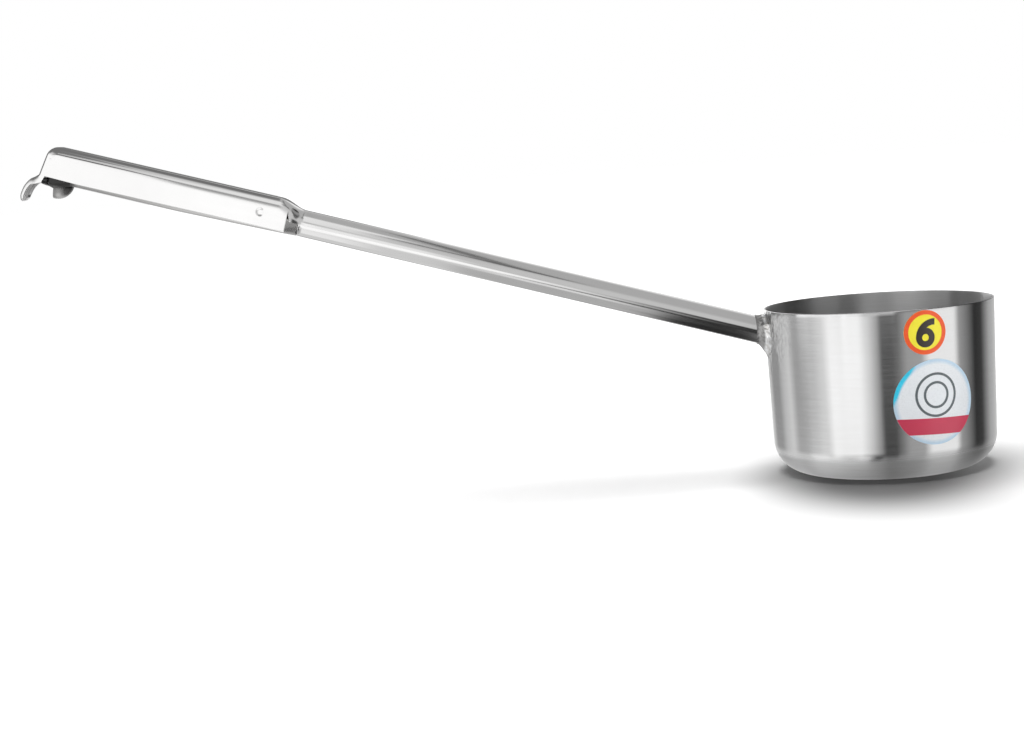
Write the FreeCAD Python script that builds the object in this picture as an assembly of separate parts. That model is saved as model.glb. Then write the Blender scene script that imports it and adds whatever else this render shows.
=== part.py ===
import FreeCAD, Part
import math
import os

# Deep serving ladle of stainless steel sheet: a straight-sided drawn cup, and
# a long handle that is a rolled tube next to the cup and a channel-shaped grip
# with a pot hook at its far end.
#
# Frame: the origin is the middle of the cup's flat base, +Z is up, the handle
# leaves towards -X, and -Y is the side that carries the stickers.
# All lengths are millimetres, all angles degrees.

Vector = FreeCAD.Vector

# Cup
rim_radius = 43.5
cup_height = 63.5
cup_sheet = 0.8
wall_draft = 1.6
base_corner_radius = 12.0
rim_round = 0.3

# Handle as a whole
handle_rise = 17.3
handle_below_rim = 8.4
handle_sheet = 0.8

# Shank: the rolled tube, its edges nearly meeting underneath
shank_diameter = 10.4
shank_length = 182.0
seam_gap = 0.3

# Neck: where the tube opens into the grip
neck_length = 10.5
neck_shoulder = 0.05
notch_tube_side = 1.6
notch_grip_side = 6.3
notch_slit = 1.1
notch_top = 3.7
notch_step = 0.5

# Grip: an upside-down channel closed by a bent-down end wall
grip_length = 92.1
grip_width = 13.0
grip_step_up = 2.6
grip_top_fall = 0.4
grip_edge_round = 3.4
end_corner_round = 5.0
end_wall_lean = 2.0
wall_drop_at_neck = 4.6
wall_drop_at_low_point = 4.8
wall_drop_at_end = 4.5
low_point_from_end = 15.0

# Tongue: the dished hook leaf below the end wall
tongue_root_step = 0.05
tongue_reach = 5.6
tongue_drop = 11.7
tongue_root_dish = 3.4
tongue_dish = 1.9
tongue_tip_dish = 1.4
tongue_half_width = 5.8
tongue_tip_half_width = 4.6

# Lower channel: the strip that closes the grip's underside
liner_sheet = 0.5
liner_side_gap = 0.12
liner_leg_top = 3.0
liner_drop_at_neck = 5.25
liner_drop = 6.25
liner_dip_drop = 8.5
liner_drop_at_leg_end = 8.0
liner_drop_at_roll = 7.75
liner_start_inset = 0.4
liner_dip_from_end = 13.0
liner_leg_end = 4.7
liner_edge_round = 2.2
strip_half_width = 4.4
roll_radius = 1.25
roll_from_end = 1.35
roll_free_angle = 110.0

# Nose of the lower channel: it narrows through the notch towards the tube's open end
nose_half_width = 4.3
nose_drop = 5.2
nose_edge_round = 3.6
nose_leg_top = 0.5

# Barb: the blister pressed down out of the lower channel, cut open towards the tongue
barb_radius = 6.5
barb_half_width = 4.4
barb_depth = 3.9
barb_crest_from_mouth = 0.3
barb_mouth_from_end = 6.5

# Spot welds that join the two grip sheets through the side walls
spot_diameter = 3.0
spot_dent = 0.15
spot_from_neck = 6.2
spot_height = 0.9

# Weld bead around the handle's foot
weld_reach = 3.8
weld_leg_below = 5.2
weld_leg_above = 1.6
weld_leg_side = 3.6
weld_edge = 0.25

# Stickers
sticker_film = 0.15
sticker_ink = 0.10
size_sticker_diameter = 16.2
size_sticker_azimuth = 13.2
size_sticker_below_rim = 8.5
size_ring_width = 1.6
digit_ring_outer = 3.6
digit_stroke = 2.3
digit_stem_radius = 6.9
digit_stem_end = 88.0
digit_drop = 1.9
label_diameter = 31.5
label_azimuth = 17.6
label_below_rim = 34.3
label_tilt = 2.5
label_band_width = 6.0
label_band_drop = 9.0
label_ring_radius = 5.0
label_ring_stroke = 0.9
label_ring_rise = 2.6

# Counts, powers and shares of a length or of a blend, chosen by eye
weld_point_count = 24
weld_hollow_power = 2.2
neck_station_shares = (0.0, 0.2, 0.4, 0.6, 0.8, 1.0)
neck_widen_share = 0.6
straight_share = 0.001
weld_station_shares = (0.0, 0.12, 0.3, 0.6, 1.0)
# Each row: share of the reach, share of the drop, share of the way from the
# root's width and dish to the leaf's, share of the way from the leaf's to the tip's
tongue_station_shares = (
    (0.00, 0.00, 0.00, 0.00),
    (0.24, 0.10, 0.45, 0.00),
    (0.56, 0.22, 0.90, 0.00),
    (0.86, 0.46, 1.00, 0.05),
    (1.00, 0.74, 1.00, 0.25),
    (0.97, 0.90, 1.00, 0.60),
    (0.88, 1.00, 1.00, 1.00),
)

# Worked out from the sizes above
overrun = handle_sheet
shank_radius = shank_diameter / 2
grip_half = grip_width / 2
liner_half = grip_half - handle_sheet - liner_side_gap
tongue_sheet = handle_sheet - 2 * tongue_root_step
grip_top = shank_radius + grip_step_up
grip_start = shank_length + neck_length
grip_end = grip_start + grip_length
liner_dip_start = grip_end - liner_dip_from_end
liner_leg_stop = grip_end - liner_leg_end
barb_mouth = grip_end - barb_mouth_from_end
draft_angle = math.atan2(wall_draft, cup_height)
rise_angle = math.radians(handle_rise)
handle_height = cup_height - handle_below_rim


def wall_radius(height):
    """Outer radius of the cup's straight wall at a height above the base."""
    return rim_radius - wall_draft * (cup_height - height) / cup_height


def at_handle(shape):
    """Puts a shape drawn along the handle's own axes where the handle is.

    The handle's own X runs out from the cup's wall along the tube's centre,
    and its Z is up, square to the tube.
    """
    out = Vector(-math.cos(rise_angle), 0, math.sin(rise_angle))
    up = Vector(math.sin(rise_angle), 0, math.cos(rise_angle))
    turn = FreeCAD.Rotation(out, up.cross(out), up, "XYZ")
    foot = Vector(-wall_radius(handle_height), 0, handle_height)
    shape.Placement = FreeCAD.Placement(foot, turn)
    return shape


def line(start, end):
    return Part.LineSegment(start, end).toShape()


def arc(start, middle, end):
    return Part.Arc(start, middle, end).toShape()


def side_prism(points, half_width):
    """A prism with an outline in the XZ plane, reaching half_width each way in Y."""
    corners = [Vector(x, -half_width, z) for x, z in points]
    face = Part.Face(Part.makePolygon(corners + corners[:1]))
    return face.extrude(Vector(0, 2 * half_width, 0))


def joined(shapes):
    """One solid from shapes that touch or overlap."""
    return shapes[0].fuse(shapes[1:]).removeSplitter()


def edges_where(shape, test):
    """Edges whose bounding boxes pass a test."""
    return [edge for edge in shape.Edges if test(edge.BoundBox)]


def cup_block(depth):
    """The solid inside the cup's outer face moved inwards by depth."""
    corner = base_corner_radius - depth
    wall_at_corner = wall_radius(base_corner_radius)
    centre_x = wall_at_corner - base_corner_radius / math.cos(draft_angle)
    tangent_x = centre_x + corner * math.cos(draft_angle)
    tangent_z = base_corner_radius - corner * math.sin(draft_angle)
    middle_turn = (math.pi / 2 + draft_angle) / 2
    middle_x = centre_x + corner * math.sin(middle_turn)
    middle_z = base_corner_radius - corner * math.cos(middle_turn)
    rim_x = rim_radius - depth / math.cos(draft_angle)
    base_edge = Vector(centre_x, 0, depth)
    wall_start = Vector(tangent_x, 0, tangent_z)
    rim = Vector(rim_x, 0, cup_height)
    edges = [
        line(Vector(0, 0, depth), base_edge),
        arc(base_edge, Vector(middle_x, 0, middle_z), wall_start),
        line(wall_start, rim),
        line(rim, Vector(0, 0, cup_height)),
        line(Vector(0, 0, cup_height), Vector(0, 0, depth)),
    ]
    face = Part.Face(Part.Wire(edges))
    return face.revolve(Vector(0, 0, 0), Vector(0, 0, 1), 360)


def cup():
    """The drawn cup, with its cut rim eased on both edges."""
    shell = cup_block(0).cut(cup_block(cup_sheet))
    rim_edges = []
    for edge in shell.Edges:
        box = edge.BoundBox
        if box.ZMin > cup_height - rim_round and box.XLength > rim_radius:
            rim_edges.append(edge)
    return shell.makeFillet(rim_round, rim_edges)


def ring_points(radius):
    """Ends and middles of eight arcs that make the tube's circle, as (y, z)."""
    half_top = math.pi / 12
    turns = []
    for quarter in range(4):
        start = quarter * math.pi / 2 - half_top
        flat_end = start + 2 * half_top
        next_start = start + math.pi / 2
        turns += [start, start + half_top, flat_end, (flat_end + next_start) / 2]
    return [(radius * math.sin(turn), radius * math.cos(turn)) for turn in turns]


def box_points(half, top, bottom, edge_round):
    """The same sixteen points on the grip's section, clockwise from its top."""
    foot_round = handle_sheet
    near = edge_round * (1 - math.sqrt(0.5))
    near_foot = foot_round * (1 - math.sqrt(0.5))
    low = -bottom + foot_round
    middle = (top - edge_round + low) / 2
    return [
        (edge_round - half, top), (0, top),
        (half - edge_round, top), (half - near, top - near),
        (half, top - edge_round), (half, middle),
        (half, low), (half - near_foot, -bottom + near_foot),
        (half - foot_round, -bottom), (0, -bottom),
        (foot_round - half, -bottom), (near_foot - half, -bottom + near_foot),
        (-half, low), (-half, middle),
        (-half, top - edge_round), (near - half, top - near),
    ]


def eased(share):
    """An S-shaped blend from 0 to 1, level at both ends."""
    share = min(share, 1)
    return share * share * (3 - 2 * share)


def neck_wire(share, circle, box):
    """One closed section of the neck, a share of the way from tube to grip.

    The sides reach the grip's width before the top reaches its height.
    """
    rise = eased(share)
    widen = eased(share / neck_widen_share)
    station = shank_length + share * neck_length
    points = []
    for (ring_y, ring_z), (box_y, box_z) in zip(circle, box):
        blend = rise if box_z > 0 else widen
        y = ring_y + (box_y - ring_y) * widen
        z = ring_z + (box_z - ring_z) * blend
        points.append(Vector(station, y, z))
    points.append(points[0])
    edges = []
    for start in range(0, len(points) - 1, 2):
        first, middle, last = points[start:start + 3]
        bend = (middle - first).cross(last - first).Length
        if bend > straight_share * (last - first).Length ** 2:
            edges.append(arc(first, middle, last))
        else:
            edges.append(line(first, last))
    return Part.Wire(edges)


def neck_block(depth, open_by):
    """The neck's solid, its faces moved inwards by depth and its floor down by open_by.

    It ends in a slight shoulder, just inside the grip's own section.
    """
    circle = ring_points(shank_radius - depth)
    inset = depth + neck_shoulder
    box = box_points(
        grip_half - inset, grip_top - inset, wall_drop_at_neck - inset + open_by,
        grip_edge_round - inset)
    wires = [neck_wire(share, circle, box) for share in neck_station_shares]
    return Part.makeLoft(wires, True)


def grip_block(depth):
    """The grip's solid, open-ended below, its faces moved inwards by depth."""
    end_top = grip_end - end_wall_lean - depth
    end_foot = grip_end - depth
    top = grip_top - depth
    deep = -2 * wall_drop_at_end
    lean = end_wall_lean / (grip_top - grip_top_fall + wall_drop_at_end)
    outline = [
        (grip_start, top),
        (end_top, top - grip_top_fall),
        (end_foot + lean * wall_drop_at_end, deep),
        (grip_start, deep),
    ]
    block = side_prism(outline, grip_half - depth)
    corner = edges_where(block, lambda box: box.YLength > grip_half and box.ZMin > 0
                         and box.XMin > grip_start + overrun)
    block = block.makeFillet(end_corner_round - depth, corner)
    long_edges = edges_where(block, lambda box: box.YLength < overrun and box.ZMax > 0
                             and box.XMax > grip_start + overrun)
    return block.makeFillet(grip_edge_round - depth, long_edges)


def below_grip_walls():
    """The space below the lower edges of the grip's side and end walls."""
    deep = -grip_width
    outline = [
        (grip_start, -wall_drop_at_neck),
        (grip_end - low_point_from_end, -wall_drop_at_low_point),
        (grip_end - grip_edge_round - handle_sheet, -wall_drop_at_end),
        (grip_end + grip_width, -wall_drop_at_end),
        (grip_end + grip_width, deep),
        (grip_start, deep),
    ]
    return side_prism(outline, grip_width)


def tongue_wire(place, tangent, half, dish):
    """One closed section of the hook leaf: a flat middle with two arcs turned in.

    place is the outer face's point in the XZ plane, tangent the leaf's
    direction there. The arcs start square to the flat and end dish deep.
    """
    flat = half * (grip_half - grip_edge_round) / grip_half
    run = half - flat
    bend = (run * run + dish * dish) / (2 * dish)
    sweep = math.atan2(run, bend - dish)
    normal = Vector(-tangent.z, 0, tangent.x)
    side = Vector(0, 1, 0)

    def point(turn, radius, hand):
        across = flat + radius * math.sin(turn)
        inward = bend - radius * math.cos(turn)
        return place + side * (hand * across) - normal * inward

    edges = []
    corners = []
    for hand in (-1, 1):
        for radius in (bend, bend - tongue_sheet):
            corners.append([point(sweep * part / 2, radius, hand) for part in range(3)])
    left_out, left_in, right_out, right_in = corners
    edges.append(arc(left_out[2], left_out[1], left_out[0]))
    edges.append(line(left_out[0], right_out[0]))
    edges.append(arc(right_out[0], right_out[1], right_out[2]))
    edges.append(line(right_out[2], right_in[2]))
    edges.append(arc(right_in[2], right_in[1], right_in[0]))
    edges.append(line(right_in[0], left_in[0]))
    edges.append(arc(left_in[0], left_in[1], left_in[2]))
    edges.append(line(left_in[2], left_out[2]))
    return Part.Wire(edges)


def tongue():
    """The dished leaf that flares out and down from the end wall's foot."""
    root_half = grip_half - tongue_root_step
    places = []
    for reach_share, drop_share, leaf_share, tip_share in tongue_station_shares:
        x = grip_end - tongue_root_step + tongue_reach * reach_share
        z = -wall_drop_at_end - tongue_drop * drop_share
        places.append(Vector(x, 0, z))
    wires = []
    for index, place in enumerate(places):
        leaf_share = tongue_station_shares[index][2]
        tip_share = tongue_station_shares[index][3]
        before = places[max(index - 1, 0)]
        after = places[min(index + 1, len(places) - 1)]
        tangent = (after - before).normalize()
        if index == 0:
            tangent = Vector(0, 0, -1)
        half = root_half + (tongue_half_width - root_half) * leaf_share
        half += (tongue_tip_half_width - tongue_half_width) * tip_share
        dish = tongue_root_dish + (tongue_dish - tongue_root_dish) * leaf_share
        dish += (tongue_tip_dish - tongue_dish) * tip_share
        wires.append(tongue_wire(place, tangent, half, dish))
    return Part.makeLoft(wires, True)


def spot_rod(inside, outside, hand):
    """A round rod across one side wall, from inside to outside of the middle plane."""
    centre = Vector(grip_start + spot_from_neck, hand * inside, spot_height)
    along = Vector(0, hand, 0)
    return Part.makeCylinder(spot_diameter / 2, outside - inside, centre, along)


def notch():
    """The relief cut at the neck: a narrow slit above, a wide gap below."""
    tube_side = shank_length + notch_tube_side
    grip_side = shank_length + notch_grip_side
    slit_side = grip_side - notch_slit
    floor = -shank_radius - grip_step_up
    outline = [
        (grip_side, notch_top),
        (slit_side, -notch_step / 2),
        (tube_side + notch_step / 2, -notch_step),
        (tube_side, floor),
        (grip_side, floor),
    ]
    return side_prism(outline, grip_width)


def handle(cup_outside):
    """The handle's one sheet: tube, neck, channel, end wall and hook leaf."""
    start = -shank_diameter
    axis = Vector(1, 0, 0)
    root = Vector(start, 0, 0)
    tube_outside = Part.makeCylinder(shank_radius, shank_length - start, root, axis)
    tube_inside = Part.makeCylinder(shank_radius - handle_sheet, shank_length - start, root, axis)
    outside = joined([tube_outside, neck_block(0, 0), grip_block(0)])
    inside = joined([
        tube_inside,
        neck_block(handle_sheet, 2 * handle_sheet),
        grip_block(handle_sheet),
    ])
    sheet = outside.cut(inside)
    seam = Part.makeBox(shank_length + neck_length - start, seam_gap, shank_diameter)
    seam.translate(Vector(start, -seam_gap / 2, -shank_diameter))
    sheet = sheet.cut([seam, notch(), below_grip_walls()])
    sheet = joined([sheet, tongue()])
    rods = [spot_rod(grip_half / 2, grip_half + overrun, hand) for hand in (-1, 1)]
    sheet = at_handle(sheet.cut(rods))
    return sheet.cut(cup_outside)


def liner_wire(station, half, drop, outer_round, top):
    """One closed U section of the lower channel, its legs reaching up to top."""
    inner = half - liner_sheet
    inner_round = outer_round - liner_sheet
    near_outer = outer_round * (1 - math.sqrt(0.5))
    near_inner = inner_round * (1 - math.sqrt(0.5))
    floor = liner_sheet - drop

    def p(y, z):
        return Vector(station, y, z)

    edges = [
        line(p(-half, top), p(-half, outer_round - drop)),
        arc(p(-half, outer_round - drop), p(near_outer - half, near_outer - drop),
            p(outer_round - half, -drop)),
        line(p(outer_round - half, -drop), p(half - outer_round, -drop)),
        arc(p(half - outer_round, -drop), p(half - near_outer, near_outer - drop),
            p(half, outer_round - drop)),
        line(p(half, outer_round - drop), p(half, top)),
        line(p(half, top), p(inner, top)),
        line(p(inner, top), p(inner, floor + inner_round)),
        arc(p(inner, floor + inner_round), p(inner - near_inner, floor + near_inner),
            p(inner - inner_round, floor)),
        line(p(inner - inner_round, floor), p(inner_round - inner, floor)),
        arc(p(inner_round - inner, floor), p(near_inner - inner, floor + near_inner),
            p(-inner, floor + inner_round)),
        line(p(-inner, floor + inner_round), p(-inner, top)),
        line(p(-inner, top), p(-half, top)),
    ]
    return Part.Wire(edges)


def strip_and_roll():
    """The short bare strip beyond the lower channel's legs, and its rolled-up edge."""
    floor = -liner_drop_at_roll
    side = -strip_half_width
    centre = Vector(grip_end - roll_from_end - roll_radius, side, floor + roll_radius)
    hollow = roll_radius - liner_sheet
    curl = roll_radius - liner_sheet / 2
    curl_hollow = curl - liner_sheet
    curl_centre = centre + Vector(0, 0, liner_sheet / 2)
    free = math.pi + math.radians(roll_free_angle)
    halfway = (math.pi + free) / 2
    quarter = math.pi / 2

    def around(middle, radius, angle):
        return middle + Vector(math.sin(angle), 0, -math.cos(angle)) * radius

    under = Vector(liner_leg_stop, side, -liner_drop_at_leg_end)
    over = under + Vector(0, 0, liner_sheet)
    edges = [
        line(over, under),
        line(under, around(centre, roll_radius, 0)),
        arc(around(centre, roll_radius, 0), around(centre, roll_radius, quarter),
            around(centre, roll_radius, math.pi)),
        arc(around(curl_centre, curl, math.pi), around(curl_centre, curl, halfway),
            around(curl_centre, curl, free)),
        line(around(curl_centre, curl, free), around(curl_centre, curl_hollow, free)),
        arc(around(curl_centre, curl_hollow, free), around(curl_centre, curl_hollow, halfway),
            around(curl_centre, curl_hollow, math.pi)),
        arc(around(centre, hollow, math.pi), around(centre, hollow, quarter),
            around(centre, hollow, 0)),
        line(around(centre, hollow, 0), over),
    ]
    band = Part.Face(Part.Wire(edges))
    return band.extrude(Vector(0, 2 * strip_half_width, 0))


def above_floor():
    """The space above the lower channel's floor, which dips down to the barb's mouth."""
    level = liner_sheet - liner_drop
    dip = liner_sheet - liner_dip_drop
    outline = [
        (grip_start, level),
        (liner_dip_start, level),
        (barb_mouth, dip),
        (grip_end, dip),
        (grip_end, grip_top),
        (grip_start, grip_top),
    ]
    return side_prism(outline, barb_radius)


def barb_block(depth):
    """The barb's blister, its faces moved inwards by depth.

    It is a part of a flattened ball, round when seen from the side and narrower
    across the grip, cut square at the mouth on the tongue's side.
    """
    crest = barb_mouth - barb_crest_from_mouth
    height = barb_radius - liner_dip_drop - barb_depth
    centre = Vector(crest, 0, height)
    curve = Part.Ellipse(centre, barb_radius - depth, barb_half_width - depth)
    profile = Part.ArcOfEllipse(curve, -math.pi / 2, math.pi / 2).toShape()
    ends = [vertex.Point for vertex in profile.Vertexes]
    face = Part.Face(Part.Wire([profile, line(ends[1], ends[0])]))
    ball = face.revolve(centre, Vector(0, 1, 0), 360)
    keep = Part.makeBox(2 * barb_radius, 2 * barb_radius, 2 * barb_radius)
    keep.translate(Vector(barb_mouth - 2 * barb_radius, -barb_radius, height - barb_radius))
    return ball.common(keep)


def channel_and_nose():
    """The channel with its full legs, and the nose that narrows through the notch."""
    start = shank_length + notch_grip_side + liner_start_inset
    nose_tip = shank_length + notch_tube_side + liner_start_inset
    stations = [
        (start, liner_drop_at_neck),
        ((start + liner_dip_start) / 2, liner_drop),
        (liner_dip_start, liner_drop),
        (barb_mouth, liner_dip_drop),
        (liner_leg_stop, liner_drop_at_leg_end),
    ]
    wires = [liner_wire(station, liner_half, drop, liner_edge_round, liner_leg_top)
             for station, drop in stations]
    nose = [
        liner_wire(nose_tip, nose_half_width, nose_drop, nose_edge_round, nose_leg_top),
        liner_wire(start, liner_half, liner_drop_at_neck, liner_edge_round, nose_leg_top),
    ]
    return [Part.makeLoft(wires, True, True), Part.makeLoft(nose, True, True)]


def lower_channel():
    """The strip that closes the grip's underside, with its nose, barb and rolled end."""
    pieces = channel_and_nose() + [strip_and_roll(), barb_block(0).cut(above_floor())]
    strip = joined(pieces)
    rods = [spot_rod(grip_half / 2, grip_half, hand) for hand in (-1, 1)]
    return at_handle(strip.cut([barb_block(liner_sheet)] + rods))


def spot_welds():
    """The two fused spots, sunk a little below the grip's outer faces."""
    inside = liner_half - liner_sheet
    outside = grip_half - spot_dent
    spots = [spot_rod(inside, outside, hand) for hand in (-1, 1)]
    return at_handle(Part.makeCompound(spots))


def weld_wire(distance):
    """An oval section of the weld bead, at a distance out from the cup's wall."""
    left_over = max(0, 1 - distance / weld_reach) ** weld_hollow_power
    tall = shank_radius / math.cos(rise_angle) + weld_edge
    above = tall + weld_leg_above * left_over
    below = tall + weld_leg_below * left_over
    side = shank_radius + weld_edge + weld_leg_side * left_over
    x = -wall_radius(handle_height) - distance
    z = handle_height + distance * math.tan(rise_angle) + (above - below) / 2
    points = []
    for step in range(weld_point_count):
        turn = 2 * math.pi * step / weld_point_count
        points.append(Vector(x, side * math.sin(turn), z + (above + below) / 2 * math.cos(turn)))
    curve = Part.BSplineCurve()
    curve.interpolate(points, PeriodicFlag=True)
    return Part.Wire([curve.toShape()])


def cup_weld(cup_outside):
    """The bead that joins the tube's foot to the cup, hollow-faced and longer below."""
    bead = Part.makeLoft([weld_wire(weld_reach * share) for share in weld_station_shares], True)
    plug = Part.Face(weld_wire(0)).extrude(Vector(base_corner_radius / 2, 0, 0))
    bead = joined([bead, plug])
    root = Vector(-shank_diameter, 0, 0)
    tube = Part.makeCylinder(shank_radius, shank_length, root, Vector(1, 0, 0))
    return bead.cut([at_handle(tube), cup_outside])


def wall_skin(inner, outer):
    """A thin conical skin over the cup's wall, between two heights above its face."""
    low = base_corner_radius
    tall = cup_height - rim_round - low
    shift_in = inner / math.cos(draft_angle)
    shift_out = outer / math.cos(draft_angle)
    base = Vector(0, 0, low)
    out_cone = Part.makeCone(wall_radius(low) + shift_out, wall_radius(low + tall) + shift_out,
                             tall, base)
    in_cone = Part.makeCone(wall_radius(low) + shift_in, wall_radius(low + tall) + shift_in,
                            tall, base)
    return out_cone.cut(in_cone)


def on_wall(face, azimuth, height, tilt):
    """A long prism from a flat face, pointing out through the wall at an azimuth."""
    turn = math.radians(azimuth)
    right = Vector(math.cos(turn), math.sin(turn), 0)
    out = Vector(math.sin(turn), -math.cos(turn), 0)
    rotation = FreeCAD.Rotation(right, Vector(0, 0, 1), out, "XYZ")
    rotation = FreeCAD.Rotation(out, tilt).multiply(rotation)
    prism = face.extrude(Vector(0, 0, rim_radius + base_corner_radius))
    prism.Placement = FreeCAD.Placement(Vector(0, 0, height), rotation)
    return prism


def disc(radius, x=0, y=0):
    return Part.Face(Part.Wire([Part.makeCircle(radius, Vector(x, y, 0))]))


def ring(outer, stroke, x=0, y=0):
    return disc(outer, x, y).cut(disc(outer - stroke, x, y))


def digit_faces():
    """A plain six: a ring, and a stem that leaves its left side and bends over."""
    centre = Vector(digit_stem_radius - digit_ring_outer, -digit_drop, 0)
    inner = digit_stem_radius - digit_stroke
    end = math.radians(digit_stem_end)
    middle = (math.pi + end) / 2

    def around(radius, angle):
        return centre + Vector(math.cos(angle), math.sin(angle), 0) * radius

    stem = Part.Face(Part.Wire([
        arc(around(digit_stem_radius, math.pi), around(digit_stem_radius, middle),
            around(digit_stem_radius, end)),
        line(around(digit_stem_radius, end), around(inner, end)),
        arc(around(inner, end), around(inner, middle), around(inner, math.pi)),
        line(around(inner, math.pi), around(digit_stem_radius, math.pi)),
    ]))
    return [ring(digit_ring_outer, digit_stroke, 0, -digit_drop), stem]


def on_size_sticker(face):
    return on_wall(face, size_sticker_azimuth, cup_height - size_sticker_below_rim, label_tilt)


def on_label(face):
    return on_wall(face, label_azimuth, cup_height - label_below_rim, label_tilt)


def stickers():
    """The two stickers, each a film with its inks lying on it."""
    film = wall_skin(0, sticker_film)
    ink = wall_skin(sticker_film, sticker_film + sticker_ink)
    size_radius = size_sticker_diameter / 2
    label_radius = label_diameter / 2
    band = Part.makePlane(label_diameter, label_band_width,
                          Vector(-label_radius, -label_band_drop - label_band_width / 2, 0))
    band = disc(label_radius).common(band)
    digit = joined([on_size_sticker(face) for face in digit_faces()])
    outer_ring = ring(2 * label_ring_radius - 2 * label_ring_stroke, label_ring_stroke, 0,
                      label_ring_rise)
    inner_ring = ring(label_ring_radius, label_ring_stroke, 0, label_ring_rise)
    rings = Part.makeCompound([on_label(outer_ring), on_label(inner_ring)])
    return {
        "size_sticker": film.common(on_size_sticker(disc(size_radius))),
        "size_sticker_ring": ink.common(on_size_sticker(ring(size_radius, size_ring_width))),
        "size_sticker_number": ink.common(digit),
        "label_foil": film.common(on_label(disc(label_radius))),
        "label_band": ink.common(on_label(band)),
        "label_rings": ink.common(rings),
    }


def write_parts():
    cup_outside = cup_block(0)
    parts = {
        "bowl": cup(),
        "handle": handle(cup_outside),
        "grip_underside": lower_channel(),
        "spot_welds": spot_welds(),
        "bowl_weld": cup_weld(cup_outside),
    }
    parts.update(stickers())
    os.makedirs("parts", exist_ok=True)
    for name, shape in parts.items():
        shape.exportStep("parts/" + name + ".step")
        box = shape.BoundBox
        print(name, "solids", len(shape.Solids), "valid", shape.isValid(),
              "volume", round(shape.Volume, 1),
              "box", [round(value, 2) for value in (
                  box.XMin, box.YMin, box.ZMin, box.XMax, box.YMax, box.ZMax)])


write_parts()
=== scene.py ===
# %% [markdown]
# # A deep serving ladle of stainless steel
#
# The ladle is a drawn cup with a long sheet handle welded to it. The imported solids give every
# size, and this script dresses them: it remakes each piece as a finer surface in the same
# place, gives it a finish, and lights it as in a small photo studio. Blender works in metres,
# so sizes that a maker would say in millimetres are multiplied by MM.

# %% Load the fixed frame
import math

import bmesh
import bpy
import numpy as np
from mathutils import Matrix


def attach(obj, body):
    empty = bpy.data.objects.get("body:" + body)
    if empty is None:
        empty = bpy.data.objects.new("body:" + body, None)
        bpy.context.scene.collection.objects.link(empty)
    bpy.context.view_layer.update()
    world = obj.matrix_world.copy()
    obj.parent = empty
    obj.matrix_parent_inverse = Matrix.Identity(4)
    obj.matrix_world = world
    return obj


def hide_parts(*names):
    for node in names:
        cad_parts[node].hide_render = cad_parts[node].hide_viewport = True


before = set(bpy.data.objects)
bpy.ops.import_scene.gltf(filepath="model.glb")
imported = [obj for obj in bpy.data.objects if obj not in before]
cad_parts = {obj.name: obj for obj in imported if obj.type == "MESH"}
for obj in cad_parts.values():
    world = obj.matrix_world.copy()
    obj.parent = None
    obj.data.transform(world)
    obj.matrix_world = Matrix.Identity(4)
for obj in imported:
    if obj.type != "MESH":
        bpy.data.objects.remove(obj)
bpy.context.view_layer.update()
MM = 0.001
print("solids in the frame:", ", ".join(sorted(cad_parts)))

# %% [markdown]
# ## The camera first
#
# The photograph looks at the ladle almost from the side and a little from above, with a long
# lens. A camera is only a place, three turns and a lens, so it is set before anything else,
# and every later picture can be laid over the photograph. Its lens and sensor are in
# millimetres, its place in metres and its turns in degrees.

# %% The camera
LENS, SENSOR = 68.555, 36.0
CAMERA_PLACE = (-0.11922111, -0.74825641, 0.13179651)
CAMERA_TURNS = (83.42879, 4.21231, 1.24345)


def placed(name, data):
    """A new object in the scene, made of the data."""
    made = bpy.data.objects.new(name, data)
    bpy.context.scene.collection.objects.link(made)
    return made


camera_data = bpy.data.cameras.new("studio_camera")
camera_data.lens = LENS
camera_data.sensor_width = SENSOR
camera = placed("studio_camera", camera_data)
camera.location = CAMERA_PLACE
camera.rotation_euler = [math.radians(turn) for turn in CAMERA_TURNS]
bpy.context.scene.camera = camera
bpy.context.scene.view_settings.view_transform = "Standard"
print("camera stands", round(camera.location.length, 3), "m from the cup's base")

# %% [markdown]
# ## The sizes the pieces share
#
# These repeat the driving sizes of the solids, in millimetres. The handle has its own axes:
# s runs out along the tube from the cup's wall, y goes across, and v is up, square to the
# tube. One function puts points in those axes where the handle is.

# %% Shared sizes
RIM_RADIUS, CUP_HEIGHT, WALL_DRAFT, CORNER_RADIUS = 43.5, 63.5, 1.6, 12.0
CUP_SHEET, HANDLE_SHEET, LINER_SHEET = 0.8, 0.8, 0.5
TUBE_RADIUS, TUBE_LENGTH, SEAM_HALF = 5.2, 182.0, 0.15
NECK_LENGTH, NECK_WIDEN = 10.5, 0.6
GRIP_START, GRIP_END, GRIP_HALF, GRIP_TOP, GRIP_FALL = 192.5, 284.6, 6.5, 7.8, 0.4
EDGE_ROUND, END_ROUND, END_LEAN = 3.4, 5.0, 2.0
WALL_AT_NECK, WALL_AT_LOW, WALL_AT_END, LOW_POINT = 4.6, 4.8, 4.5, 269.6
HANDLE_RISE = math.radians(17.3)
HANDLE_HEIGHT = CUP_HEIGHT - 8.4
ALONG = (-math.cos(HANDLE_RISE), 0, math.sin(HANDLE_RISE))
ABOVE = (math.sin(HANDLE_RISE), 0, math.cos(HANDLE_RISE))


def points_of(*coordinates):
    """Arrays of coordinates, spread to one shape and put together as points."""
    return np.stack(np.broadcast_arrays(*coordinates), axis=-1)


def wall_radius(height):
    """The cup's outer radius at a height: the rim's, less the draft's share of the drop."""
    return RIM_RADIUS - WALL_DRAFT * (CUP_HEIGHT - height) / CUP_HEIGHT


def on_handle(s, y, v):
    """Points in the frame, in mm: the foot, plus s along the tube, plus v square to it."""
    x = -wall_radius(HANDLE_HEIGHT) + s * ALONG[0] + v * ABOVE[0]
    return points_of(x, y, HANDLE_HEIGHT + s * ALONG[2] + v * ABOVE[2])


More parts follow.
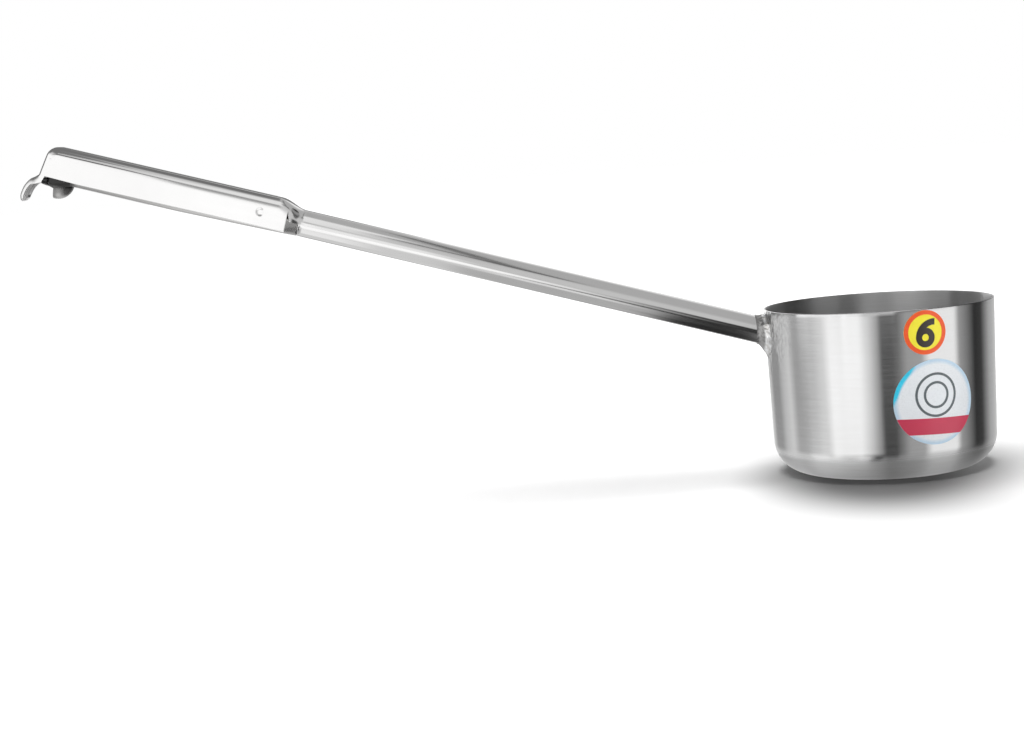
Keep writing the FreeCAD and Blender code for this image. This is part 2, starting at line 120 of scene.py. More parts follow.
print("the handle leaves the wall", round(wall_radius(HANDLE_HEIGHT), 2), "mm from the axis")

# %% [markdown]
# ## From a grid of points to a piece
#
# Every new surface here is a grid: rows one way, columns the other, each point worked out by
# a formula. Neighbouring points make four-cornered faces. A row going up and a column going
# right give a face that looks towards the viewer, so the order of rows and columns decides
# which side is outside. Doubled points at poles and seams are merged.

# %% Grid and piece helpers
MERGE_DISTANCE, EASED_EDGE_FROM = 0.002, 50  # mm and degrees


def grid_faces(grid, wrap_rows=False, wrap_columns=False, keep=None):
    """Faces between a grid's neighbouring points; keep is a mask of the faces that stay."""
    index = np.arange(grid.size // 3).reshape(grid.shape[:2])
    if wrap_rows:
        index = np.vstack([index, index[:1]])
    if wrap_columns:
        index = np.hstack([index, index[:, :1]])
    corners = [index[:-1, :-1], index[1:, :-1], index[1:, 1:], index[:-1, 1:]]
    faces = np.stack(corners, axis=-1)
    return faces[keep] if keep is not None else faces.reshape(-1, 4)


def new_piece(name, points_mm, faces, node):
    """A mesh piece from points in mm and faces, merged, riding on the body, for one node."""
    mesh = bpy.data.meshes.new(name)
    mesh.from_pydata((np.asarray(points_mm).reshape(-1, 3) * MM).tolist(), [], faces.tolist())
    shape = bmesh.new()
    shape.from_mesh(mesh)
    bmesh.ops.remove_doubles(shape, verts=shape.verts, dist=MERGE_DISTANCE * MM)
    loose = [vert for vert in shape.verts if not vert.link_faces]
    bmesh.ops.delete(shape, geom=loose, context="VERTS")
    shape.to_mesh(mesh)
    shape.free()
    piece = placed(name, mesh)
    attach(piece, "root")
    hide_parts(node)
    return piece


def thicken(piece, sheet_mm):
    """Gives a one-sided sheet its thickness, inwards from the side its faces point to."""
    solid = piece.modifiers.new("sheet", "SOLIDIFY")
    solid.thickness = sheet_mm * MM
    solid.offset = -1


def finish_mesh(piece, edge_mm=0, sharp_above=38):
    """Eases the cut edges, applies the modifiers, and smooths all but the sharp folds."""
    if edge_mm:
        ease = piece.modifiers.new("eased_edges", "BEVEL")
        ease.width = edge_mm * MM
        ease.segments = 2
        ease.limit_method = "ANGLE"
        ease.angle_limit = math.radians(EASED_EDGE_FROM)
    evaluated = piece.evaluated_get(bpy.context.evaluated_depsgraph_get())
    mesh = bpy.data.meshes.new_from_object(evaluated)
    piece.modifiers.clear()
    piece.data = mesh
    mesh.shade_smooth()
    mesh.set_sharp_from_angle(angle=math.radians(sharp_above))
    print(piece.name, "faces", len(mesh.polygons), "open edges", open_edges(mesh))


def open_edges(mesh):
    """How many edges don't join two faces, which is 0 for a closed surface."""
    shape = bmesh.new()
    shape.from_mesh(mesh)
    count = sum(len(edge.link_faces) != 2 for edge in shape.edges)
    shape.free()
    return count


def steps(*marks):
    """One rising list of values from (start, stop, count) spans, without doubles."""
    spans = [np.linspace(start, stop, count) for start, stop, count in marks]
    return np.unique(np.round(np.concatenate(spans), 5))


def whole_turn(count):
    """Turns round a circle, in radians, without the last one that closes it."""
    return np.linspace(0, 2 * math.pi, count, endpoint=False)


def eased(share):
    """An S-shaped blend from 0 to 1, level at both ends."""
    share = np.clip(share, 0, 1)
    return share * share * (3 - 2 * share)


# %% [markdown]
# ## The cup
#
# The cup is drawn from one disc of sheet: flat base, a wide soft corner, a nearly straight
# wall and a cut rim. It is a surface of revolution, so one outline, turned about the axis,
# gives the outer face, the rim and the inner face in one closed skin.

# %% The cup's outline and its turning
RIM_ROUND = 0.3
BASE_RINGS, CORNER_RINGS, WALL_RINGS, RIM_RINGS, CUP_COLUMNS = 12, 25, 40, 9, 224


def cup_outline():
    """Radius and height along the outer face, over the rim and down the inner face, in mm."""
    draft = math.atan2(WALL_DRAFT, CUP_HEIGHT)
    corner_x = wall_radius(CORNER_RADIUS) - CORNER_RADIUS / math.cos(draft)

    def face(depth):
        bend = np.linspace(0, math.pi / 2 + draft, CORNER_RINGS)
        corner = CORNER_RADIUS - depth
        corner_r = corner_x + corner * np.sin(bend)
        corner_z = CORNER_RADIUS - corner * np.cos(bend)
        height = np.linspace(corner_z[-1], CUP_HEIGHT - RIM_ROUND, WALL_RINGS)[1:]
        base = np.linspace(0, corner_x, BASE_RINGS)[:-1]
        radius = np.concatenate([base, corner_r, wall_radius(height) - depth / math.cos(draft)])
        return radius, np.concatenate([0 * base + depth, corner_z, height])

    outer_r, outer_z = face(0)
    inner_r, inner_z = face(CUP_SHEET)
    turn = np.linspace(0, math.pi, RIM_RINGS)[1:-1]
    middle = (outer_r[-1] + inner_r[-1]) / 2
    rim_r = middle + (outer_r[-1] - middle) * np.cos(turn)
    rim_z = outer_z[-1] + RIM_ROUND * np.sin(turn)
    return (np.concatenate([outer_r, rim_r, inner_r[::-1]]),
            np.concatenate([outer_z, rim_z, inner_z[::-1]]))


def turned(radius, height, columns):
    """Rows along the outline, columns around: (r sin t, -r cos t, z)."""
    turn = whole_turn(columns)
    radius, height = radius[:, None], height[:, None]
    return points_of(radius * np.sin(turn), -radius * np.cos(turn), height)


outline_r, outline_z = cup_outline()
cup_points = turned(outline_r, outline_z, CUP_COLUMNS)
cup_faces = grid_faces(cup_points, wrap_columns=True)[:, ::-1]
cup = new_piece("cup", cup_points, cup_faces, "bowl")
finish_mesh(cup)

# %% [markdown]
# ## The handle's one sheet
#
# The real handle is a single formed sheet. Next to the cup its edges are rolled together into
# a tube. A notch then lets it open into an upside-down channel, the grip. So a row of the grid
# is one cross-section, from the middle of the top down to the sheet's edge, and the far half
# is its mirror image. The rows follow the tube, the neck, the grip and the bend at its end.
# Columns keep to marks that every section has, and faces inside the notch are left out.

# %% Cross-sections of tube, neck and grip
NOTCH_TUBE_SIDE, NOTCH_GRIP_SIDE, NOTCH_SLIT = 183.6, 188.3, 187.2
NOTCH_EDGE = (-0.5, -0.25, 3.7, -0.3)
MARK_COLUMNS, SECTION_SAMPLES = (26, 20, 12), 400
FLAT_TURN, EDGE_TURN, FOLD_START, FOLD_END, WHOLE_TURN = 15, 75, 105, 165, 180
MARK_GAP, FINE_FROM, DENT_FROM, DENT_TO = 0.3, 178, 196.5, 201
EDGE_SWEEP, LEAN_HEIGHT = 82.4, 3.0
LEAN_IN = LEAN_HEIGHT * math.tan(math.radians(90 - EDGE_SWEEP)) / 2
FLAT_HALF = GRIP_HALF - LEAN_IN - EDGE_ROUND * math.sin(math.radians(EDGE_SWEEP))


def wall_foot(s):
    """How far below the tube's axis the grip's side wall reaches at s."""
    return np.interp(s, [GRIP_START, LOW_POINT, GRIP_END - EDGE_ROUND - HANDLE_SHEET],
                     [WALL_AT_NECK, WALL_AT_LOW, WALL_AT_END])


def box_half(turn, top, foot, folded):
    """The grip's half-section as (y, v) for turns in degrees from the top's middle.

    The flat top comes first, then the rounded edge up to EDGE_TURN. The rest is the side wall,
    which leans out a little below the edge, and near the tube folds in again at its foot.
    """
    bend = np.radians(np.clip((turn - FLAT_TURN) / (EDGE_TURN - FLAT_TURN), 0, 1) * EDGE_SWEEP)
    y = np.clip(turn / FLAT_TURN, 0, 1) * FLAT_HALF + EDGE_ROUND * np.sin(bend)
    v = top - EDGE_ROUND * (1 - np.cos(bend))
    low = -foot + (HANDLE_SHEET if folded else 0)
    side_end = FOLD_START if folded else WHOLE_TURN
    side = np.clip((turn - EDGE_TURN) / (side_end - EDGE_TURN), 0, 1)
    lean = np.clip(1 - (v - v[-1] + (v[-1] - low) * side) / LEAN_HEIGHT, 0, 1)
    y = np.where(turn > EDGE_TURN, GRIP_HALF - (GRIP_HALF - y[-1]) * lean ** 2, y)
    v = np.where(turn > EDGE_TURN, v + (low - v) * side, v)
    if folded:
        fold = np.clip((turn - FOLD_START) / (FOLD_END - FOLD_START), 0, 1) * math.pi / 2
        y = y - HANDLE_SHEET * (1 - np.cos(fold))
        v = v - HANDLE_SHEET * np.sin(fold)
        inwards = (WHOLE_TURN - turn) / (WHOLE_TURN - FOLD_END)
        y = np.where(turn > FOLD_END, y * inwards, y)
    return y, v


def half_section(s):
    """The outer half-section at s, as (y, v), a blend from the tube's circle to the grip."""
    share = (s - TUBE_LENGTH) / NECK_LENGTH
    rise, widen = eased(share), eased(share / NECK_WIDEN)
    closed = s < NOTCH_GRIP_SIDE - MERGE_DISTANCE
    seam = math.degrees(math.asin(SEAM_HALF / TUBE_RADIUS)) if closed else 0
    turn = np.linspace(0, WHOLE_TURN - seam, SECTION_SAMPLES)
    top = np.interp(s, [GRIP_START, GRIP_END - END_LEAN], [GRIP_TOP, GRIP_TOP - GRIP_FALL])
    box_y, box_v = box_half(turn, top, wall_foot(s), closed)
    ring_y = TUBE_RADIUS * np.sin(np.radians(turn))
    ring_v = TUBE_RADIUS * np.cos(np.radians(turn))
    v = ring_v + (box_v - ring_v) * np.where(box_v > 0, rise, widen)
    if not closed:
        corner = np.interp(EDGE_TURN, turn, v)
        below = (turn - EDGE_TURN) / (WHOLE_TURN - EDGE_TURN)
        v = np.where(turn > EDGE_TURN, corner - (wall_foot(s) + corner) * below, v)
    return ring_y + (box_y - ring_y) * widen, v


def notch_edge(s):
    """The height of the notch's upper edge at s."""
    return np.interp(s, [NOTCH_TUBE_SIDE, NOTCH_SLIT, NOTCH_GRIP_SIDE, GRIP_START], NOTCH_EDGE)


def section_columns(s):
    """The half-section at s, shared out along its length between its three marks.

    The marks are the end of the rounded edge, the notch's upper edge and the sheet's edge.
    """
    y, v = half_section(s)
    length = np.concatenate([[0], np.cumsum(np.hypot(np.diff(y), np.diff(v)))])
    at_notch = np.interp(-notch_edge(s), -v, length)
    edge_end = FLAT_HALF + EDGE_ROUND * math.radians(EDGE_SWEEP)
    ring_end = TUBE_RADIUS * math.radians(EDGE_TURN)
    edge_end = ring_end + (edge_end - ring_end) * eased((s - TUBE_LENGTH) / NECK_LENGTH)
    edge_end = min(edge_end, at_notch - MARK_GAP)
    along = np.concatenate([np.linspace(mark, mark + 1, count + 1)[min(mark, 1):]
                            for mark, count in enumerate(MARK_COLUMNS)])
    wanted = np.interp(along, [0, 1, 2, 3], [0, edge_end, at_notch, length[-1]])
    return np.interp(wanted, length, y), np.interp(wanted, length, v)


end_top_s = GRIP_END - END_LEAN
end_top_v = GRIP_TOP - GRIP_FALL
wall_turn = math.atan2(END_LEAN, end_top_v + WALL_AT_END)
bend_turn = math.pi / 2 - wall_turn
bend_reach = END_ROUND * math.tan(bend_turn / 2)
bend_start = end_top_s - bend_reach
rows_s = steps((0, FINE_FROM, 46), (FINE_FROM, TUBE_LENGTH, 6), (TUBE_LENGTH, NOTCH_TUBE_SIDE, 6),
               (NOTCH_TUBE_SIDE, NOTCH_SLIT, 9), (NOTCH_SLIT, NOTCH_GRIP_SIDE, 8),
               (NOTCH_GRIP_SIDE, GRIP_START, 13), (GRIP_START, DENT_FROM, 5),
               (DENT_FROM, DENT_TO, 20), (DENT_TO, bend_start, 30))
half_y, half_v = np.array([section_columns(s) for s in rows_s]).transpose(1, 0, 2)
half_s = np.repeat(rows_s[:, None], half_y.shape[1], axis=1)
print("handle rows", len(rows_s), "columns in a half", half_y.shape[1])

# %% [markdown]
# The tube's foot is cut to the cup's round wall. For each point of the first row the place
# where the tube's line meets the wall is found by trying, correcting and trying again. Near
# the neck the side walls carry a spot weld: the electrode leaves a shallow round dent.

# %% Foot on the wall, and the spot weld's dent
SPOT_S, SPOT_V, SPOT_RADIUS, SPOT_DENT = 198.7, 0.9, 1.5, 0.17
DENT_BORDER, DENT_FLAT, WALL_SINK, FOOT_REACH, TRIES = 0.35, 0.45, 0.05, 12, 8


def foot_on_wall(y, v):
    """How far out along the tube the cup's wall lies, for points (y, v) of the section."""
    s = 0 * y
    for _ in range(TRIES):
        height = HANDLE_HEIGHT + s * ALONG[2] + v * ABOVE[2]
        wall_x = np.sqrt((wall_radius(height) - WALL_SINK) ** 2 - y ** 2)
        s = (wall_x - wall_radius(HANDLE_HEIGHT) + v * ABOVE[0]) / -ALONG[0]
    return s


foot_s = foot_on_wall(half_y[0], half_v[0])
near = np.clip(1 - rows_s / FOOT_REACH, 0, 1)[:, None]
half_s = half_s + near * foot_s
spot_distance = np.hypot(half_s - SPOT_S, half_v - SPOT_V) / (SPOT_RADIUS + DENT_BORDER)
dent = SPOT_DENT * (1 - eased((spot_distance - DENT_FLAT) / (1 - DENT_FLAT)))
half_y = half_y - np.where(half_s > GRIP_START, dent, 0)
print("the foot reaches s from", round(foot_s.min(), 2), "to", round(foot_s.max(), 2), "mm")

# %% [markdown]
# At the far end the top bends down into the end wall. The top and the rounded edges go round
# the bend as a swept section. The flat side wall under the bend is a fan of lines, from the
# inner arc down to the wall's foot. Below the foot the end wall runs on as a dished tongue,
# which flares out and hooks over a pot's rim.

# %% The bend, the end wall and the tongue
TONGUE_REACH, TONGUE_DROP = 5.52, 11.65
TONGUE_STATIONS = np.array([  # share of the reach, of the drop, half width, dish
    (0.00, 0.00, 6.50, 3.40), (0.24, 0.10, 6.19, 2.73), (0.56, 0.22, 5.87, 2.05),
    (0.86, 0.46, 5.74, 1.88), (1.00, 0.74, 5.50, 1.78), (0.97, 0.90, 5.08, 1.60),
    (0.88, 1.00, 4.60, 1.40)])
TIP_FROM, TIP_NARROWS, TIP_FLATTENS = 0.88, 0.80, 0.55  # shares of length, width and dish
BEND_ROWS, TONGUE_ROWS = 16, 44
edge_columns = MARK_COLUMNS[0] + 1
last_y, last_v = half_y[-1], half_v[-1]
edge_y = last_y[:edge_columns]
edge_in = last_v[0] - last_v[:edge_columns]
side_v = last_v[edge_columns - 1:]
side_share = (side_v[0] - side_v[1:]) / (side_v[0] - side_v[-1])


def outward(turn):
    """The direction, as (s, v), that points out of the sheet after a turn from straight up."""
    return points_of(np.sin(turn), np.cos(turn))


bend_share = np.linspace(0, 1, BEND_ROWS + 1)[1:]
bend_centre = np.array([bend_start, last_v[0] - END_ROUND])
bend_out = outward(bend_share * bend_turn)
bend_place = bend_centre + END_ROUND * bend_out
wall_foot_place = np.array([GRIP_END, -WALL_AT_END])
wall_out = outward(bend_turn + (math.pi / 2 - bend_turn) * side_share)
wall_place = bend_place[-1] + side_share[:, None] * (wall_foot_place - bend_place[-1])
wall_inner = wall_place - edge_in[-1] * wall_out

bend_edge = bend_place[:, None] - edge_in[None, :, None] * bend_out[:, None]
inner_arc = bend_edge[:, -1]
straight_foot = np.array([bend_start, last_v[-1]])
fan_foot = straight_foot + bend_share[:, None] * (wall_inner[-1] - straight_foot)
fan = inner_arc[:, None] + side_share[None, :, None] * (fan_foot - inner_arc)[:, None]
fan[-1] = wall_inner
bend_points = np.concatenate([bend_edge, fan], axis=1)


def smooth_table(table, samples):
    """Values on a smooth curve through a table's rows, by cubic blends between neighbours."""
    padded = np.vstack([2 * table[0] - table[1], table, 2 * table[-1] - table[-2]])
    place = np.linspace(0, len(table) - 1, samples)
    row = np.minimum(place.astype(int), len(table) - 2)
    t = (place - row)[:, None]
    before, here, there, after = (padded[row + k] for k in range(4))
    return 0.5 * (2 * here + (there - before) * t
                  + (2 * before - 5 * here + 4 * there - after) * t ** 2
                  + (3 * here - before - 3 * there + after) * t ** 3)


tongue = smooth_table(TONGUE_STATIONS, TONGUE_ROWS)
tongue_place = points_of(GRIP_END + TONGUE_REACH * tongue[:, 0],
                         -WALL_AT_END - TONGUE_DROP * tongue[:, 1])
along = np.gradient(tongue_place, axis=0)
along[0] = (0, -1)
along /= np.hypot(*along.T)[:, None]
tongue_out = points_of(-along[:, 1], along[:, 0])
tip = np.clip((np.linspace(0, 1, TONGUE_ROWS) - TIP_FROM) / (1 - TIP_FROM), 0, 1)
tongue_half = tongue[:, 2] * np.sqrt(1 - TIP_NARROWS * tip ** 2)
flat_share = (GRIP_HALF - EDGE_ROUND) / GRIP_HALF
edge_share = np.linspace(0, 1, edge_columns)
flat_mark = FLAT_HALF / (FLAT_HALF + EDGE_ROUND * math.radians(EDGE_SWEEP))
on_flat = np.clip(edge_share / flat_mark, 0, 1)
on_arc = np.clip((edge_share - flat_mark) / (1 - flat_mark), 0, 1)
run = (tongue_half * (1 - flat_share))[:, None]
dish = (tongue[:, 3] * np.sqrt(1 - TIP_FLATTENS * tip ** 2))[:, None]
bend = (run ** 2 + dish ** 2) / (2 * dish)
sweep = np.arctan2(run, bend - dish) * on_arc
tongue_y = tongue_half[:, None] * flat_share * on_flat + bend * np.sin(sweep)
tongue_in = bend * (1 - np.cos(sweep))
tongue_points = tongue_place[:, None] - tongue_in[..., None] * tongue_out[:, None]

wall_points = wall_place[:, None] - edge_in[None, :, None] * wall_out[:, None]
end_points = np.concatenate([bend_edge[-1:], wall_points, tongue_points[1:]])
wall_y = edge_y * last_y[edge_columns - 1:, None] / edge_y[-1]
end_y = np.concatenate([wall_y, tongue_y[1:]])
print("end rows", len(end_points))

# %% [markdown]
# Two grids now make the sheet, the long one and the end one, and they share the line where
# the side wall's rounded edge meets the end wall. They are mirrored to the far half, merged,
# and given the sheet's thickness inwards.

# %% The handle's mesh
long_s = np.vstack([half_s, bend_points[..., 0]])
long_v = np.vstack([half_v, bend_points[..., 1]])
long_y = np.vstack([half_y, np.repeat(last_y[None], BEND_ROWS, axis=0)])


def mirrored(s, y, v):
    """A full grid from a half one: the near side, -y, reversed, then the far side."""
    return on_handle(np.hstack([s[:, :0:-1], s]), np.hstack([-y[:, :0:-1], y]),
                     np.hstack([v[:, :0:-1], v]))


long_grid = mirrored(long_s, long_y, long_v)
end_grid = mirrored(end_points[..., 0], end_y, end_points[..., 1])
rows, columns = long_grid.shape[:2]
row_middle = (rows_s[:-1] + rows_s[1:]) / 2
cut_rows = np.zeros(rows - 1, bool)
cut_rows[:len(row_middle)] = (row_middle > NOTCH_TUBE_SIDE) & (row_middle < NOTCH_GRIP_SIDE)
cut_columns = np.zeros(columns - 1, bool)
cut_columns[:MARK_COLUMNS[2]] = cut_columns[-MARK_COLUMNS[2]:] = True
keep = ~(cut_rows[:, None] & cut_columns[None, :])
long_faces = grid_faces(long_grid, keep=keep)
end_faces = grid_faces(end_grid) + rows * columns
handle_points = np.vstack([long_grid.reshape(-1, 3), end_grid.reshape(-1, 3)])
handle = new_piece("handle_sheet", handle_points, np.vstack([long_faces, end_faces])[:, ::-1],
                   "handle")
thicken(handle, HANDLE_SHEET)
finish_mesh(handle, edge_mm=0.14)

# %% [markdown]
# ## The grip's underside
#
# A second, narrower channel of thinner sheet lies in the first one and closes the grip from
# below. At the neck a nose with low legs narrows through the notch. Towards the end the floor
# dips, the legs stop, and the bare edge is rolled up. Before the roll a blister is pressed
# down out of the floor and cut open towards the tongue: a barb that keeps the ladle from
# sliding along a pot's rim.

# %% The lower channel
LINER_HALF, LEG_TOP, LINER_ROUND, STRIP_HALF = 5.58, 3.0, 2.2, 4.4
NOSE_TIP, NOSE_HALF, NOSE_ROUND, NOSE_LEG_TOP = 184.0, 4.3, 3.6, 0.5
LINER_START, DIP_START, LEG_STOP = 188.7, 271.6, 279.9
ROLL_RADIUS, ROLL_S, ROLL_DROP, ROLL_FREE = 1.25, 282.0, 7.75, math.radians(110)
BARB_RADIUS, BARB_HALF, BARB_CREST, BARB_MOUTH, BARB_CENTRE = 6.5, 4.4, 277.8, 278.1, -5.9
MOUTH_HALF, MOUTH_CUT, LEG_FADE, FLOOR_FINE_FROM, FLOOR_FINER_FROM = 3.95, 0.02, 0.6, 265, 270.1
FLOOR_DROPS = [5.2, 5.25, 6.25, 6.25, 8.5, 8.0, ROLL_DROP]
FLOOR_COLUMNS, LEAN_COLUMNS, TURN_COLUMNS, LOW_LEG, HIGH_LEG, ROLL_SAMPLES = 24, 5, 8, 4, 3, 22


def liner_drop(s):
    """How far below the tube's axis the lower channel's floor lies at s."""
    middle = (LINER_START + DIP_START) / 2
    return np.interp(s, [NOSE_TIP, LINER_START, middle, DIP_START, BARB_MOUTH, LEG_STOP, ROLL_S],
                     FLOOR_DROPS)


def channel_half(s, legs):
    """The lower channel's outer half-section at rows s, from the floor's middle to leg top.

    The floor's columns come first, then the bend up to the bare strip's half width, the rest
    of the bend, the leg up to the nose's height, and the rest of the leg.
    """
    s = s[:, None]
    half = np.interp(s, [NOSE_TIP, LINER_START], [NOSE_HALF, LINER_HALF])
    bend = np.interp(s, [NOSE_TIP, LINER_START], [NOSE_ROUND, LINER_ROUND])
    lean = math.asin((STRIP_HALF - LINER_HALF + LINER_ROUND) / LINER_ROUND)
    turn = np.concatenate([np.linspace(0, lean, LEAN_COLUMNS + 1)[1:],
                           np.linspace(lean, math.pi / 2, TURN_COLUMNS + 1)[1:]])
    floor = np.linspace(0, 1, FLOOR_COLUMNS)
    y = np.hstack([floor * (half - bend), half - bend + bend * np.sin(turn),
                   half + np.zeros(LOW_LEG + HIGH_LEG)])
    up = np.hstack([0 * floor + 0 * bend, bend * (1 - np.cos(turn))])
    v = up * legs[:, None] - liner_drop(s)
    low = v[:, -1:] + (NOSE_LEG_TOP - v[:, -1:]) * np.linspace(0, 1, LOW_LEG + 1)[1:]
    high = np.linspace(NOSE_LEG_TOP, LEG_TOP, HIGH_LEG + 1)[1:] + 0 * s
    return s + 0 * y, y, np.hstack([v, low, high])


def barb_depth(s, y, v):
    """The blister: where the flattened ball lies lower than the floor, its surface counts."""
    inside = 1 - ((s - BARB_CREST) / BARB_RADIUS) ** 2 - (y / BARB_HALF) ** 2
    ball = BARB_CENTRE - BARB_RADIUS * np.sqrt(np.clip(inside, 0, None))
    return np.where((inside > 0) & (s < BARB_MOUTH + MERGE_DISTANCE), np.minimum(v, ball), v)


def roll(samples):
    """The rolled edge as (s, v): a half turn, then a tighter curl."""
    floor = ROLL_RADIUS - ROLL_DROP
    first = np.linspace(0, math.pi, samples)
    second = np.linspace(math.pi, math.pi + ROLL_FREE, samples // 2)[1:]
    tight = ROLL_RADIUS - LINER_SHEET / 2
    outer = points_of(ROLL_S + ROLL_RADIUS * np.sin(first), floor - ROLL_RADIUS * np.cos(first))
    inner = points_of(ROLL_S + tight * np.sin(second),
                      floor + LINER_SHEET / 2 - tight * np.cos(second))
    return np.vstack([outer, inner])


nose_s = steps((NOSE_TIP, LINER_START, 10))[:-1]
strip_s = steps((LINER_START, FLOOR_FINE_FROM, 24), (FLOOR_FINE_FROM, FLOOR_FINER_FROM, 8),
                (FLOOR_FINER_FROM, BARB_MOUTH, 44))
after_s = steps((BARB_MOUTH + MOUTH_CUT, LEG_STOP, 6), (LEG_STOP, ROLL_S, 7))[:-1]
liner_s = np.concatenate([nose_s, strip_s, after_s])
legs = 1 - eased((liner_s - LEG_STOP) / LEG_FADE)
channel_s, channel_y, channel_v = channel_half(liner_s, legs)
channel_v = barb_depth(channel_s, channel_y, channel_v)
roll_line = roll(ROLL_SAMPLES)
roll_s = np.repeat(roll_line[:, :1], channel_s.shape[1], axis=1)
roll_v = np.repeat(roll_line[:, 1:], channel_s.shape[1], axis=1)
roll_y = np.repeat(channel_y[-1:], len(roll_line), axis=0)
liner_grid = mirrored(np.vstack([channel_s, roll_s]), np.vstack([channel_y, roll_y]),
                      np.vstack([channel_v, roll_v]))
rows, columns = liner_grid.shape[:2]


def outer_columns(count):
    """A mask of the outermost columns of faces on both sides of the full grid."""
    mask = np.zeros(columns - 1, bool)
    mask[:count] = mask[-count:] = True
    return mask[None, :]


row_number = np.arange(rows - 1)[:, None]
legless = row_number >= np.searchsorted(liner_s, LEG_STOP)
nose = row_number < len(nose_s)
mouth = row_number == len(nose_s) + len(strip_s) - 1
column_y = (np.abs(liner_grid[-1, :-1, 1]) + np.abs(liner_grid[-1, 1:, 1]))[None, :] / 2
keep = ~(legless & outer_columns(TURN_COLUMNS + LOW_LEG + HIGH_LEG))
keep &= ~(nose & outer_columns(HIGH_LEG)) & ~(mouth & (column_y < MOUTH_HALF))
liner = new_piece("grip_underside_sheet", liner_grid, grid_faces(liner_grid, keep=keep),
                  "grip_underside")
thicken(liner, LINER_SHEET)
finish_mesh(liner, edge_mm=0.1)

# %% [markdown]
# ## Spot welds
#
# Each spot weld shows as a slightly dished round face at the bottom of its dent. A small
# closed disc, turned about the spot's own axis, stands for the fused metal.

# %% Spot welds
SPOT_DISH, SPOT_DEPTH, SPOT_SINK, SPOT_CROWN = 0.12, 0.9, 0.19, 0.06
SPOT_RINGS, SPOT_COLUMNS = 9, 32


def spot_disc(hand):
    """A dished disc on one side wall: rows from the outer face's middle to the back's."""
    share = np.linspace(0, 1, SPOT_RINGS)
    reach = np.concatenate([share, [1, 0]])[:, None]
    depth = np.concatenate([SPOT_DISH * (1 - share ** 2), [SPOT_DEPTH] * 2])[:, None]
    turn = whole_turn(SPOT_COLUMNS)
    y = hand * (GRIP_HALF - SPOT_SINK - depth + SPOT_CROWN * reach ** 2)
    return on_handle(SPOT_S + SPOT_RADIUS * reach * np.cos(turn), y,
                     SPOT_V + SPOT_RADIUS * reach * np.sin(turn))


spot_points = np.array([spot_disc(hand) for hand in (-1, 1)])
near_faces = grid_faces(spot_points[0], wrap_columns=True)
far_faces = near_faces + spot_points[0].size // 3
spots = new_piece("spot_weld_faces", spot_points, np.vstack([near_faces[:, ::-1], far_faces]),
                  "spot_welds")
finish_mesh(spots)

# %% [markdown]
# ## The weld bead
#
# The bead round the handle's foot is metal that ran and froze: hollow-faced, longer below than
# above, with ripples across it and small lumps. Its rows go from the cup's wall out along the
# tube, its columns go round the tube, and sines of unlike lengths make it uneven.

# %% The weld bead
BEAD_REACH, BEAD_BELOW, BEAD_ABOVE, BEAD_SIDE, BEAD_EDGE = 3.8, 5.2, 1.6, 3.6, 0.22
BEAD_ROWS, UNDER_ROWS, BEAD_COLUMNS, BEAD_HOLLOW, UNDER_SINK = 22, 8, 144, 2.2, 0.1
RIPPLES = [  # height in mm, waves round the tube, slant, start
    (0.16, 19, 9, 0), (0.12, 31, -14, 1.3), (0.18, 7, 0, 2.1)]


def bead():
    """Oval sections round the tube, each a share of the reach out from the wall.

    A section's half heights and width shrink with the distance to the power BEAD_HOLLOW. The
    last rows turn under, along the tube, so the skin is closed like a ring.
    """
    share = np.concatenate([np.linspace(0, 1, BEAD_ROWS), np.linspace(1, 0, UNDER_ROWS)])[:, None]
    under = np.arange(len(share))[:, None] >= BEAD_ROWS
    turn = whole_turn(BEAD_COLUMNS)
    left = (1 - share) ** BEAD_HOLLOW
    ripple = sum(height * np.sin(waves * turn + slant * share + start)
                 for height, waves, slant, start in RIPPLES)
    ripple = ripple * (0.3 + 0.7 * left) * (1 - left ** 8)
    ripple = ripple * np.sin(np.pi * np.clip(share, 0.04, 1)) ** 0.5
    oval = 1 / math.cos(HANDLE_RISE)
    above, below, side = (
        np.where(under, (TUBE_RADIUS - UNDER_SINK) * stretch,
                 TUBE_RADIUS * stretch + BEAD_EDGE + swell * left + ripple)
        for stretch, swell in ((oval, BEAD_ABOVE), (oval, BEAD_BELOW), (1, BEAD_SIDE)))
    distance = BEAD_REACH * share
    y = side * np.sin(turn)
    z = (HANDLE_HEIGHT + distance * math.tan(HANDLE_RISE) + (above - below) / 2
         + (above + below) / 2 * np.cos(turn))
    wall_x = -np.sqrt((wall_radius(z) - WALL_SINK) ** 2 - y ** 2)
    flat_x = -wall_radius(HANDLE_HEIGHT) - distance
    x = wall_x + (flat_x - wall_x) * np.clip(share * 3, 0, 1) ** 0.8
    return points_of(x, y, z)


bead_points = bead()
bead_faces = grid_faces(bead_points, wrap_rows=True, wrap_columns=True)
weld = new_piece("weld_bead", bead_points, bead_faces[:, ::-1], "bowl_weld")
finish_mesh(weld, sharp_above=75)

# %% [markdown]
# ## The stickers
#
# A sticker is a flat shape pressed onto the round wall. So each one is drawn in a plane first,
# with a across and b up, and every point is then pushed straight back until it meets the wall.
# The film and each ink are thin closed skins: a front, a narrow edge and a back.

